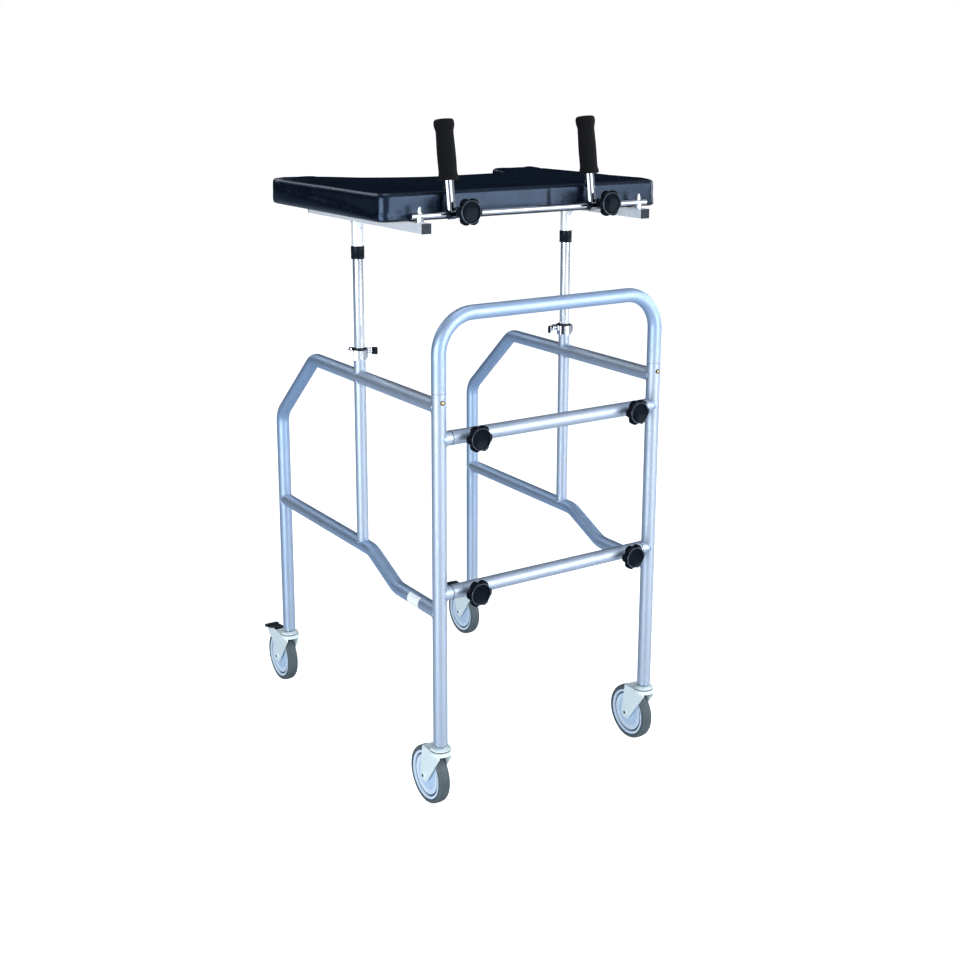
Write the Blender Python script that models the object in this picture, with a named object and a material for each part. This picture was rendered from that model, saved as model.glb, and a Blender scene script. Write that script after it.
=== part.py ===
"""Walking frame with a padded forearm tray, on four swivel castors.

Metres, +Z up, +Y towards the walking person. The origin is on the floor, midway in length and width.
"""

import math

import bmesh
import bpy
from mathutils import Matrix, Vector

# ---------------------------------------------------------------- driving dimensions
TRACK_HALF = 0.271            # leg axes left and right of the middle
FRONT_Y = -0.3964             # front leg axes
WHEELBASE = 0.7226            # front leg axes to rear leg axes
POST_Y = FRONT_Y + 0.3245     # centre posts
REAR_Y = FRONT_Y + WHEELBASE
LEG_BOTTOM = 0.1482
GAP = 0.0003                  # between pieces that touch on the real frame

TUBE_R = 0.0150               # legs, rails, crossbars and hoop
TUBE_BORE = 0.0133
TUBE_SIDES = 16
BEND_R = 0.050

HOOP_TOP = 1.0463             # hoop centreline
HOOP_BEND = 0.078
HOOP_SEAM = 0.893
SPIGOT_R = 0.0130
SPIGOT_LENGTH = 0.060
BUTTON_Z = 0.876

RAIL_TOP_Z = 0.866            # top rail centreline
RAIL_CORNER_Y = FRONT_Y + 0.541
RAIL_KNEE_Z = 0.703
LOWER_REAR_Z = 0.4875
LOWER_FRONT_Z = 0.4365
DIP_START_Y = FRONT_Y + 0.281
DIP_END_Y = FRONT_Y + 0.170

CROSSBAR_Z = {"upper": 0.7999, "lower": 0.4762}
CROSSBAR_END = 0.245
STUB_R = 0.0148
STUB_INNER_R = 0.0131
STUB_LENGTH = 0.110
KNOB_X = 0.200
BOSS_R = 0.0090
BOSS_FACE = 0.0180            # in front of the crossbar's axis

POST_R = 0.0127
POST_BORE = 0.0113
POST_TOP = 0.925
COLUMN_R = 0.0110
COLUMN_BORE = 0.0092
COLUMN_BOTTOM = 0.700
COLLAR_R = 0.01425
COLLAR_BOTTOM = 1.1200
COLLAR_TOP = 1.1470
CLAMP_BOTTOM = 0.9045
CLAMP_R = 0.0172

TRAY_Z = 1.2090               # square tube centreline
TRAY_TUBE = 0.0200
TRAY_WALL = 0.0015
TRAY_FRONT = FRONT_Y + 0.044
TRAY_BACK = FRONT_Y + 0.532
TRAY_STUB_R = 0.0125
ROD_Y = FRONT_Y + 0.067
ROD_Z = TRAY_Z + TRAY_TUBE / 2 + 0.0130
ROD_R = 0.0060
ROD_HALF = 0.291
SADDLE_R = 0.0075
PIN_R = 0.0026

PAD_HALF = 0.348
PAD_FRONT = FRONT_Y + 0.0865
PAD_BACK = FRONT_Y + 0.596
PAD_BOTTOM = TRAY_Z + TRAY_TUBE / 2 + GAP
PAD_HEIGHT = 0.060
PAD_CORNER = 0.025
CUTOUT_HALF = 0.235
CUTOUT_DEPTH = 0.190
CUTOUT_POWER = 2.5
BOARD_HEIGHT = 0.009

HANDLE_X = {"left": -0.199, "right": 0.146}
HANDLE_LEAN = math.radians(9)
SLEEVE_R = 0.0088
STEM_R = 0.0100
STEM_TOP = 0.166
RING_R = 0.0110
GRIP_START = 0.0655
LUG_X = 0.0166
LUG_Z = 0.006
LUG_FACE = 0.0200

WHEEL_R = 0.0625
WHEEL_TRAIL = 0.0415
TYRE_SIDES = 24
WHEEL_BORE = 0.0045
AXLE_R = 0.0040
FORK_IN = 0.0140
FORK_OUT = 0.0162
DISH_R = 0.0222
PEDAL_Y = 0.085               # rocker pin, behind the swivel axis
PEDAL_Z = 0.1165

SIDES = {"left": -1, "right": 1}
FINISHES = {
    "frame_paint": ((0.52, 0.60, 0.72), 0.32, 0.85),
    "chrome": ((0.86, 0.88, 0.90), 0.12, 1.0),
    "zinc": ((0.80, 0.86, 0.84), 0.30, 0.9),
    "black_plastic": ((0.012, 0.012, 0.016), 0.35, 0.0),
    "grip_foam": ((0.010, 0.010, 0.012), 0.85, 0.0),
    "tread_rubber": ((0.20, 0.20, 0.19), 0.65, 0.0),
    "wheel_plastic": ((0.62, 0.68, 0.80), 0.40, 0.0),
    "pad_vinyl": ((0.015, 0.016, 0.030), 0.40, 0.0),
    "board_wood": ((0.42, 0.30, 0.18), 0.70, 0.0),
    "brass": ((0.70, 0.52, 0.25), 0.30, 1.0),
}


# ---------------------------------------------------------------- making objects
def finish_material(name):
    found = bpy.data.materials.get(name)
    if found:
        return found
    colour, roughness, metallic = FINISHES[name]
    made = bpy.data.materials.new(name)
    made.use_nodes = True
    shader = made.node_tree.nodes["Principled BSDF"]
    shader.inputs["Base Color"].default_value = (*colour, 1.0)
    shader.inputs["Roughness"].default_value = roughness
    shader.inputs["Metallic"].default_value = metallic
    return made


def add(name, mesh, finish=None, location=(0, 0, 0), turn=None):
    """An object with its origin at location, turned by a matrix if one is given."""
    made = bpy.data.objects.new(name, mesh)
    bpy.context.scene.collection.objects.link(made)
    made.matrix_world = Matrix.Translation(location) @ (turn or Matrix.Identity(4))
    if finish:
        mesh.materials.clear()
        mesh.materials.append(finish_material(finish))
        mesh.shade_smooth()
        mesh.set_sharp_from_angle(angle=math.radians(38))
    return made


def mesh_from(bm, name):
    bmesh.ops.recalc_face_normals(bm, faces=bm.faces)
    mesh = bpy.data.meshes.new(name)
    bm.to_mesh(mesh)
    bm.free()
    return mesh


def combine(target, tools, operation):
    """Applies a Boolean with each tool object in turn, then removes the tools."""
    for tool in tools:
        modifier = target.modifiers.new("cut", "BOOLEAN")
        modifier.operation = operation
        modifier.object = tool
        modifier.solver = "EXACT"
        bpy.context.view_layer.update()
        evaluated = target.evaluated_get(bpy.context.evaluated_depsgraph_get())
        result = bpy.data.meshes.new_from_object(evaluated)
        target.modifiers.clear()
        target.data = result
        bpy.data.objects.remove(tool)
    return target


def cut(target, *tools):
    return combine(target, tools, "DIFFERENCE")


def weld(target, *tools):
    return combine(target, tools, "UNION")


def done(obj, finish):
    """Gives a finished shape its material and its smooth shading."""
    obj.data.materials.clear()
    obj.data.materials.append(finish_material(finish))
    obj.data.shade_smooth()
    obj.data.set_sharp_from_angle(angle=math.radians(38))
    return obj


# ---------------------------------------------------------------- basic shapes
def rod_mesh(start, end, radius, sides=TUBE_SIDES):
    """A solid cylinder from start to end."""
    a = Vector(start)
    b = Vector(end)
    bm = bmesh.new()
    turn = (b - a).to_track_quat("Z", "Y").to_matrix().to_4x4()
    place = Matrix.Translation((a + b) / 2) @ turn
    bmesh.ops.create_cone(
        bm,
        cap_ends=True,
        segments=sides,
        radius1=radius,
        radius2=radius,
        depth=(b - a).length,
        matrix=place,
    )
    return mesh_from(bm, "rod")


def tool_rod(start, end, radius, sides=TUBE_SIDES):
    return add("tool", rod_mesh(start, end, radius, sides))


def box_mesh(low, high):
    bm = bmesh.new()
    size = Vector(high) - Vector(low)
    place = Matrix.Translation((Vector(low) + Vector(high)) / 2) @ Matrix.Diagonal((*size, 1))
    bmesh.ops.create_cube(bm, size=1, matrix=place)
    return mesh_from(bm, "box")


def tool_box(low, high):
    return add("tool", box_mesh(low, high))


def turned(profile, sides, axis="Z", name="turned"):
    """A closed profile of (radius, height) points turned round an axis. Radius 0 is a point on the axis."""
    bm = bmesh.new()
    rings = []
    for radius, height in profile:
        if radius == 0:
            rings.append([bm.verts.new((0, 0, height))])
            continue
        angles = [2 * math.pi * i / sides for i in range(sides)]
        rings.append([bm.verts.new((radius * math.cos(a), radius * math.sin(a), height)) for a in angles])
    open_profile = profile[0][0] == 0
    count = len(rings) - 1 if open_profile else len(rings)
    for i in range(count):
        join_rings(bm, rings[i], rings[(i + 1) % len(rings)])
    if axis == "X":
        bmesh.ops.rotate(bm, verts=bm.verts, matrix=Matrix.Rotation(math.radians(90), 3, "Y"))
    if axis == "-Y":
        bmesh.ops.rotate(bm, verts=bm.verts, matrix=Matrix.Rotation(math.radians(90), 3, "X"))
    return mesh_from(bm, name)


def join_rings(bm, a, b):
    """Faces between two rings of vertices, either of which may be a single point."""
    n = max(len(a), len(b))
    for i in range(n):
        j = (i + 1) % n
        if len(a) == 1:
            bm.faces.new((a[0], b[i], b[j]))
        elif len(b) == 1:
            bm.faces.new((a[i], a[j], b[0]))
        else:
            bm.faces.new((a[i], a[j], b[j], b[i]))


def rounded_path(corners, radius, steps=7):
    """Points and directions along straight runs joined by arcs."""
    points = [Vector(c) for c in corners]
    path = [(points[0], (points[1] - points[0]).normalized())]
    for before, corner, after in zip(points, points[1:], points[2:]):
        into = (corner - before).normalized()
        out = (after - corner).normalized()
        bend = into.angle(out)
        reach = radius * math.tan(bend / 2)
        centre_way = (out - into).normalized()
        centre = corner + centre_way * (radius / math.cos(bend / 2))
        start = corner - into * reach
        turn_axis = into.cross(out).normalized()
        for k in range(steps + 1):
            spin = Matrix.Rotation(bend * k / steps, 3, turn_axis)
            path.append((centre + spin @ (start - centre), spin @ into))
    path.append((points[-1], (points[-1] - points[-2]).normalized()))
    return path


def swept_tube(path, across, bore, sides=TUBE_SIDES, name="tube"):
    """A hollow tube. path holds (point, direction, outer radius); across is square to the path's plane."""
    across = Vector(across)
    outer = []
    inner = []
    bm = bmesh.new()
    angles = [2 * math.pi * i / sides for i in range(sides)]
    for point, direction, radius in path:
        up = direction.cross(across)
        spokes = [across * math.cos(a) + up * math.sin(a) for a in angles]
        outer.append([bm.verts.new(point + s * radius) for s in spokes])
        inner.append([bm.verts.new(point + s * bore) for s in spokes])
    for rings in (outer, inner):
        for a, b in zip(rings, rings[1:]):
            if (a[0].co - b[0].co).length > 1e-7:
                join_rings(bm, a, b)
    join_rings(bm, outer[0], inner[0])
    join_rings(bm, outer[-1], inner[-1])
    return mesh_from(bm, name)


def prism(outline, low, high, axis="X"):
    """A flat outline pushed from low to high along X (outline in y, z) or along Z (outline in x, y)."""
    bm = bmesh.new()
    if axis == "X":
        bottom = [bm.verts.new((low, y, z)) for y, z in outline]
        top = [bm.verts.new((high, y, z)) for y, z in outline]
    else:
        bottom = [bm.verts.new((x, y, low)) for x, y in outline]
        top = [bm.verts.new((x, y, high)) for x, y in outline]
    join_rings(bm, bottom, top)
    bm.faces.new(bottom)
    bm.faces.new(top)
    return mesh_from(bm, "prism")


def arc(centre, radius, start, end, steps):
    """Points on a circle between two angles in degrees."""
    angles = [math.radians(start + (end - start) * k / steps) for k in range(steps + 1)]
    return [(centre[0] + radius * math.cos(a), centre[1] + radius * math.sin(a)) for a in angles]


# ---------------------------------------------------------------- frame
def front_leg(side):
    """Front leg with the two stubs that carry the crossbars."""
    s = SIDES[side]
    x = s * TRACK_HALF
    leg = add(f"front_leg_{side}", rod_mesh((x, FRONT_Y, LEG_BOTTOM), (x, FRONT_Y, HOOP_SEAM), TUBE_R))
    for z in CROSSBAR_Z.values():
        shoulder = s * (CROSSBAR_END + GAP)
        tip = s * (TRACK_HALF - STUB_LENGTH)
        weld(leg, tool_rod((x, FRONT_Y, z), (shoulder, FRONT_Y, z), STUB_R))
        weld(leg, tool_rod((shoulder + s * 0.002, FRONT_Y, z), (tip, FRONT_Y, z), STUB_INNER_R))
        hollow_start = (s * (CROSSBAR_END + 0.006), FRONT_Y, z)
        cut(leg, tool_rod(hollow_start, (tip - s * 0.01, FRONT_Y, z), STUB_INNER_R - 0.0015, 16))
    bore = ((x, FRONT_Y, LEG_BOTTOM - 0.01), (x, FRONT_Y, HOOP_SEAM + 0.01))
    cut(leg, tool_rod(*bore, TUBE_BORE))
    cut(leg, tool_rod((x, FRONT_Y - 0.02, BUTTON_Z), (x, FRONT_Y, BUTTON_Z), 0.0040, 10))
    return done(leg, "frame_paint")


def hoop():
    """Upper tube of the front, an upturned U with a thinner spigot at each end."""
    low = HOOP_SEAM - SPIGOT_LENGTH
    corners = [
        (-TRACK_HALF, FRONT_Y, low),
        (-TRACK_HALF, FRONT_Y, HOOP_TOP),
        (TRACK_HALF, FRONT_Y, HOOP_TOP),
        (TRACK_HALF, FRONT_Y, low),
    ]
    path = [(p, d, TUBE_R) for p, d in rounded_path(corners, HOOP_BEND, 6)]
    seam = HOOP_SEAM + GAP
    for i, s in ((0, -1), (-1, 1)):
        end, way, _ = path[i]
        shoulder = Vector((s * TRACK_HALF, FRONT_Y, seam))
        steps = [(end, way, SPIGOT_R), (shoulder, way, SPIGOT_R)]
        steps.append((shoulder + Vector((0, 0, 0.0004)), way, TUBE_R))
        path = steps + path[1:] if i == 0 else path[:-1] + steps[::-1]
    made = add("front_hoop", swept_tube(path, (0, 1, 0), SPIGOT_R - 0.0015))
    for s in SIDES.values():
        x = s * TRACK_HALF
        cut(made, tool_rod((x, FRONT_Y - 0.02, BUTTON_Z), (x, FRONT_Y, BUTTON_Z), 0.0040, 10))
    return done(made, "frame_paint")


def spring_button(side):
    """Brass lock button with its inner flange, its origin on the leg's axis."""
    profile = [
        (0, 0.0050),
        (0.0048, 0.0055),
        (0.0048, 0.0072),
        (0.0035, 0.0072),
        (0.0035, 0.0158),
        (0.0025, 0.0168),
        (0, 0.0172),
    ]
    mesh = turned(profile, 10, "-Y", "spring_button")
    add(f"spring_button_{side}", mesh, "brass", (SIDES[side] * TRACK_HALF, FRONT_Y, BUTTON_Z))


def side_rail(side):
    """Top rail that bends down into the rear leg, drilled for the centre post."""
    x = SIDES[side] * TRACK_HALF
    corners = [
        (x, FRONT_Y, RAIL_TOP_Z),
        (x, RAIL_CORNER_Y, RAIL_TOP_Z),
        (x, REAR_Y, RAIL_KNEE_Z),
        (x, REAR_Y, LEG_BOTTOM),
    ]
    path = [(p, d, TUBE_R) for p, d in rounded_path(corners, BEND_R, 4)]
    rail = add(f"side_rail_{side}", swept_tube(path, (1, 0, 0), TUBE_BORE))
    cut(rail, tool_rod((x, FRONT_Y, 0.80), (x, FRONT_Y, 0.93), TUBE_R + GAP))
    cut(rail, tool_rod((x, POST_Y, 0.80), (x, POST_Y, 0.93), POST_R + GAP))
    return done(rail, "frame_paint")


def lower_rail(side):
    """Lower side rail, level at the back, with a dip down to the front leg."""
    x = SIDES[side] * TRACK_HALF
    corners = [
        (x, FRONT_Y, LOWER_FRONT_Z),
        (x, DIP_END_Y, LOWER_FRONT_Z),
        (x, DIP_START_Y, LOWER_REAR_Z),
        (x, REAR_Y, LOWER_REAR_Z),
    ]
    path = [(p, d, TUBE_R) for p, d in rounded_path(corners, 0.060, 2)]
    rail = add(f"lower_rail_{side}", swept_tube(path, (1, 0, 0), TUBE_BORE))
    for y in (FRONT_Y, REAR_Y):
        cut(rail, tool_rod((x, y, 0.38), (x, y, 0.55), TUBE_R + GAP))
    return done(rail, "frame_paint")


def centre_post(side):
    """Post that the tray column slides in, coped onto the lower rail."""
    x = SIDES[side] * TRACK_HALF
    way = Vector((0, 0, 1))
    path = [(Vector((x, POST_Y, LOWER_REAR_Z)), way, POST_R), (Vector((x, POST_Y, POST_TOP)), way, POST_R)]
    post = add(f"centre_post_{side}", swept_tube(path, (1, 0, 0), POST_BORE))
    cut(post, tool_rod((x, POST_Y - 0.05, LOWER_REAR_Z), (x, POST_Y + 0.05, LOWER_REAR_Z), TUBE_R + GAP))
    return done(post, "frame_paint")


def crossbar(level):
    """Outer tube between the front legs, with a threaded boss for each star knob."""
    z = CROSSBAR_Z[level]
    rod = rod_mesh((-CROSSBAR_END, FRONT_Y, z), (CROSSBAR_END, FRONT_Y, z), TUBE_R)
    bar = add(f"crossbar_{level}", rod)
    for s in SIDES.values():
        x = s * KNOB_X
        weld(bar, tool_rod((x, FRONT_Y - 0.010, z), (x, FRONT_Y - BOSS_FACE, z), BOSS_R, 12))
    cut(bar, tool_rod((-0.3, FRONT_Y, z), (0.3, FRONT_Y, z), TUBE_BORE + 0.0002))
    for s in SIDES.values():
        x = s * KNOB_X
        cut(bar, tool_rod((x, FRONT_Y - 0.030, z), (x, FRONT_Y, z), 0.0036, 10))
    return done(bar, "frame_paint")


# ---------------------------------------------------------------- star knobs
KNOB_R = 0.0280
KNOB_LOBES = 6
KNOB_NOTCH = 0.0050
KNOB_SIDES = 24
STUD_R = 0.0030


def star_radius(angle, radius):
    """Outline of the knob: round lobes with a notch between each two."""
    notch = (0.5 - 0.5 * math.cos(KNOB_LOBES * angle)) ** 2
    return radius - KNOB_NOTCH * notch


def star_knob_mesh(stud):
    """Star knob along +Z from its hub's foot, with a dished cap and a stud below."""
    levels = [
        (-stud, STUD_R, False),
        (0.0, STUD_R, False),
        (0.0, 0.0090, False),
        (0.0105, 0.0100, False),
        (0.0115, KNOB_R, True),
        (0.0255, KNOB_R, True),
        (0.0275, 0.0212, False),
    ]
    bm = bmesh.new()
    angles = [2 * math.pi * i / KNOB_SIDES for i in range(KNOB_SIDES)]
    rings = [[bm.verts.new((0, 0, -stud))]]
    for height, radius, starred in levels:
        sizes = [star_radius(a, radius) if starred else radius for a in angles]
        points = [(r * math.cos(a), r * math.sin(a), height) for r, a in zip(sizes, angles)]
        rings.append([bm.verts.new(p) for p in points])
    rings.append([bm.verts.new((0, 0, 0.0245))])
    for a, b in zip(rings, rings[1:]):
        join_rings(bm, a, b)
    bmesh.ops.rotate(bm, verts=bm.verts, matrix=Matrix.Rotation(math.radians(90), 3, "X"))
    return mesh_from(bm, "star_knob")


def crossbar_knobs():
    mesh = star_knob_mesh(BOSS_FACE - STUB_INNER_R)
    for level, z in CROSSBAR_Z.items():
        for side, s in SIDES.items():
            face = FRONT_Y - BOSS_FACE - GAP
            add(f"star_knob_{level}_{side}", mesh, "black_plastic", (s * KNOB_X, face, z))


# ---------------------------------------------------------------- height adjustment
def tray_column(side):
    """Chrome column with the plastic collar that the tray sits on."""
    profile = [
        (COLUMN_R, COLUMN_BOTTOM),
        (COLUMN_R, COLLAR_BOTTOM),
        (COLLAR_R, COLLAR_BOTTOM),
        (COLLAR_R, COLLAR_TOP),
        (COLUMN_R, COLLAR_TOP),
        (COLUMN_R, 1.1880),
        (COLUMN_BORE, 1.1880),
        (COLUMN_BORE, COLUMN_BOTTOM),
    ]
    mesh = turned(profile, TUBE_SIDES, name="tray_column")
    add(f"tray_column_{side}", mesh, "chrome", (SIDES[side] * TRACK_HALF, POST_Y, 0))


CLAMP_AXIS_ANGLE = 40         # skewer, from straight ahead towards the outside
CLAMP_REACH = 0.0205          # skewer's distance from the post's axis
LEVER_BACK = 0.0150           # lever pivot behind the skewer's middle


def clamp_frame(side):
    """Skewer middle and direction of a height clamp, seen from the post's axis."""
    s = SIDES[side]
    angle = math.radians(CLAMP_AXIS_ANGLE)
    ahead = Vector((s * math.sin(angle), -math.cos(angle), 0))
    outward = Vector((s * math.cos(angle), math.sin(angle), 0))
    return outward * CLAMP_REACH, ahead


def height_clamp(side):
    """Band of two halves round the post's top, with its ears, skewer and notched nut."""
    middle, ahead = clamp_frame(side)
    place = Vector((SIDES[side] * TRACK_HALF, POST_Y, 0))
    z_mid = (CLAMP_BOTTOM + POST_TOP) / 2
    up = Vector((0, 0, 1))
    ring = rod_mesh((0, 0, CLAMP_BOTTOM), (0, 0, POST_TOP), CLAMP_R)
    band = add(f"height_clamp_{side}", ring, None, place)
    out = middle.normalized()
    turn = Matrix((ahead, out, up)).transposed().to_4x4()
    ears = add("tool", box_mesh((-0.0075, -0.008, -0.0085), (0.0075, 0.0062, 0.0085)), None)
    ears.matrix_world = Matrix.Translation(place + middle + up * z_mid) @ turn
    weld(band, ears)
    slot = add("tool", box_mesh((-0.0018, -0.018, -0.02), (0.0018, 0.020, 0.02)), None)
    slot.matrix_world = Matrix.Translation(place + middle + up * z_mid) @ turn
    cut(band, tool_rod(place + up * 0.88, place + up * 0.95, POST_R + GAP))
    cut(band, slot)
    window = add("tool", box_mesh((-0.0038, -0.0405, -0.02), (0.0038, -0.0325, 0.02)), None)
    window.matrix_world = Matrix.Translation(place + middle + up * z_mid) @ turn
    cut(band, window)
    centre = place + middle + up * z_mid
    weld(band, tool_rod(centre - ahead * 0.0068, centre + ahead * 0.0120, 0.0030, 12))
    weld(band, tool_rod(centre + ahead * 0.0070, centre + ahead * 0.0140, 0.0098, 16))
    for k in range(4):
        spin = Matrix.Rotation(math.radians(90 * k + 45), 3, ahead)
        notch = centre + spin @ (up * 0.0098)
        cut(band, tool_rod(notch + ahead * 0.0085, notch + ahead * 0.020, 0.0030, 10))
    return done(band, "chrome")


def clamp_lever(side):
    """Cam lever behind the clamp: a cam block on the skewer and an arm curled round the post."""
    s = SIDES[side]
    middle, ahead = clamp_frame(side)
    pivot = Vector((s * TRACK_HALF, POST_Y, 0)) + middle - ahead * LEVER_BACK
    z_mid = (CLAMP_BOTTOM + POST_TOP) / 2
    cam = rod_mesh((0, 0, z_mid - 0.0090), (0, 0, z_mid + 0.0110), 0.0065, 14)
    lever = add(f"clamp_lever_{side}", cam, None, pivot)
    tip = Vector((-s * 0.044, 0.004, 0)) - (middle - ahead * LEVER_BACK)
    chord = tip.normalized()
    outside = Vector((chord.y * s, -chord.x * s, 0))
    outside = outside if outside.dot(middle - ahead * LEVER_BACK) > 0 else -outside
    inside_line = []
    outside_line = []
    steps = 7
    for k in range(steps + 1):
        t = k / steps
        bow = 0.0075 * math.sin(math.pi * t) - 0.0035 * t
        point = tip * t + outside * bow
        inside_line.append((point.x - outside.x * 0.0014, point.y - outside.y * 0.0014))
        outside_line.append((point.x + outside.x * 0.0014, point.y + outside.y * 0.0014))
    arm = prism(inside_line + outside_line[::-1], z_mid - 0.0035, z_mid + 0.0100, "Z")
    weld(lever, add("tool", arm, None, pivot))
    return done(lever, "chrome")


# ---------------------------------------------------------------- tray
def tray_tube(side):
    """Square tube under the pad, with the stub and gussets that take the column."""
    x = SIDES[side] * TRACK_HALF
    half = TRAY_TUBE / 2
    low = (x - half, TRAY_FRONT, TRAY_Z - half)
    high = (x + half, TRAY_BACK, TRAY_Z + half)
    tube = add(f"tray_tube_{side}", box_mesh(low, high))
    inner = half - TRAY_WALL
    low = (x - inner, TRAY_FRONT - 0.01, TRAY_Z - inner)
    high = (x + inner, TRAY_BACK + 0.01, TRAY_Z + inner)
    cut(tube, tool_box(low, high))
    stub_foot = COLLAR_TOP + GAP
    weld(tube, tool_rod((x, POST_Y, stub_foot), (x, POST_Y, TRAY_Z - half + 0.0010), TRAY_STUB_R))
    base = TRAY_Z - half + 0.0008
    for way in (-1, 1):
        near = POST_Y + way * (TRAY_STUB_R - 0.0012)
        far = POST_Y + way * (TRAY_STUB_R + 0.0170)
        outline = [(near, base), (far, base), (far, base - 0.004), (near, base - 0.019)]
        weld(tube, add("tool", prism(outline, x - 0.0016, x + 0.0016)))
    cut(tube, tool_rod((x, POST_Y, stub_foot - 0.01), (x, POST_Y, 1.1950), COLUMN_R + GAP))
    cut(tube, tool_rod((x, ROD_Y, TRAY_Z), (x, ROD_Y, TRAY_Z + 0.02), PIN_R + 0.0004, 12))
    return done(tube, "chrome")


def tube_plug(side, end):
    """Black plug that closes one end of a tray tube."""
    x = SIDES[side] * TRACK_HALF
    half = TRAY_TUBE / 2
    face = TRAY_FRONT if end == "front" else TRAY_BACK
    way = -1 if end == "front" else 1
    ys = sorted((face + way * GAP, face + way * 0.0035))
    cap = box_mesh((x - half, ys[0], TRAY_Z - half), (x + half, ys[1], TRAY_Z + half))
    plug = add(f"tray_plug_{end}_{side}", cap)
    inner = half - TRAY_WALL - GAP
    ys = sorted((face - way * 0.012, face + way * 0.0015))
    weld(plug, tool_box((x - inner, ys[0], TRAY_Z - inner), (x + inner, ys[1], TRAY_Z + inner)))
    return done(plug, "black_plastic")


def handle_rod():
    """Round bar across the front of the tray, drilled for its two fixings."""
    rod = add("handle_rod", rod_mesh((-ROD_HALF, ROD_Y, ROD_Z), (ROD_HALF, ROD_Y, ROD_Z), ROD_R, 14))
    for s in SIDES.values():
        x = s * TRACK_HALF
        cut(rod, tool_rod((x, ROD_Y, ROD_Z - 0.02), (x, ROD_Y, ROD_Z + 0.02), PIN_R + 0.0004, 12))
    return done(rod, "chrome")


def rod_fixing(side):
    """Saddle under the rod, with the bolt through it and the cap nut on top."""
    top = TRAY_Z + TRAY_TUBE / 2
    low = top + GAP - ROD_Z
    x = SIDES[side] * TRACK_HALF
    place = (x, ROD_Y, ROD_Z)
    fixing = add(f"rod_fixing_{side}", rod_mesh((0, 0, low), (0, 0, -0.0020), SADDLE_R, 12), None, place)
    cut(fixing, tool_rod((x - 0.02, ROD_Y, ROD_Z), (x + 0.02, ROD_Y, ROD_Z), ROD_R + GAP, 14))
    bolt_profile = [
        (0, low - 0.0060),
        (PIN_R, low - 0.0055),
        (PIN_R, ROD_R + GAP),
        (0.0055, ROD_R + GAP),
        (0.0055, 0.0115),
        (0.0040, 0.0120),
        (0.0036, 0.0155),
        (0.0022, 0.0180),
        (0, 0.0188),
    ]
    weld(fixing, add("tool", turned(bolt_profile, 12), None, place))
    return done(fixing, "chrome")


def pad_outline(inset):
    """Outline of the pad in x, y: square front, cut out for the body at the back."""
    half = PAD_HALF - inset
    front = PAD_FRONT + inset
    back = PAD_BACK - inset
    corner = PAD_CORNER - inset * 0.7
    lip = 0.020
    opening = CUTOUT_HALF + inset
    depth = CUTOUT_DEPTH
    right = []
    right += arc((half - corner, front + corner), corner, -90, 0, 4)
    right += arc((half - corner, back - corner), corner, 0, 90, 4)
    right += arc((opening + lip, back - lip), lip, 90, 180, 3)
    steps = 11
    for k in range(1, steps + 1):
        t = math.pi / 2 * k / steps
        x = opening * math.cos(t) ** (2 / CUTOUT_POWER)
        y = back - lip - (depth - lip) * math.sin(t) ** (2 / CUTOUT_POWER)
        right.append((x, y))
    left = [(-x, y) for x, y in reversed(right[:-1])]
    return right + left


def arm_pad():
    """Upholstered pad, hollowed underneath for its board."""
    bm = bmesh.new()
    top_z = PAD_BOTTOM + PAD_HEIGHT
    layers = [
        (0.0035, PAD_BOTTOM),
        (0.0, PAD_BOTTOM + 0.0040),
        (0.0, top_z - 0.0160),
        (0.0022, top_z - 0.0080),
        (0.0080, top_z - 0.0022),
        (0.0160, top_z),
    ]
    rings = [[bm.verts.new((x, y, z)) for x, y in pad_outline(inset)] for inset, z in layers]
    for a, b in zip(rings, rings[1:]):
        join_rings(bm, a, b)
    bm.faces.new(rings[0])
    bm.faces.new(rings[-1])
    pad = add("arm_pad", mesh_from(bm, "arm_pad"))
    pocket = prism(pad_outline(0.0080 - GAP), PAD_BOTTOM - 0.01, PAD_BOTTOM + BOARD_HEIGHT + GAP, "Z")
    cut(pad, add("tool", pocket))
    return done(pad, "pad_vinyl")


def pad_board():
    """Stiff board inside the pad, screwed down on the tray tubes."""
    mesh = prism(pad_outline(0.0080), PAD_BOTTOM, PAD_BOTTOM + BOARD_HEIGHT, "Z")
    return done(add("pad_board", mesh), "board_wood")


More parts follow.
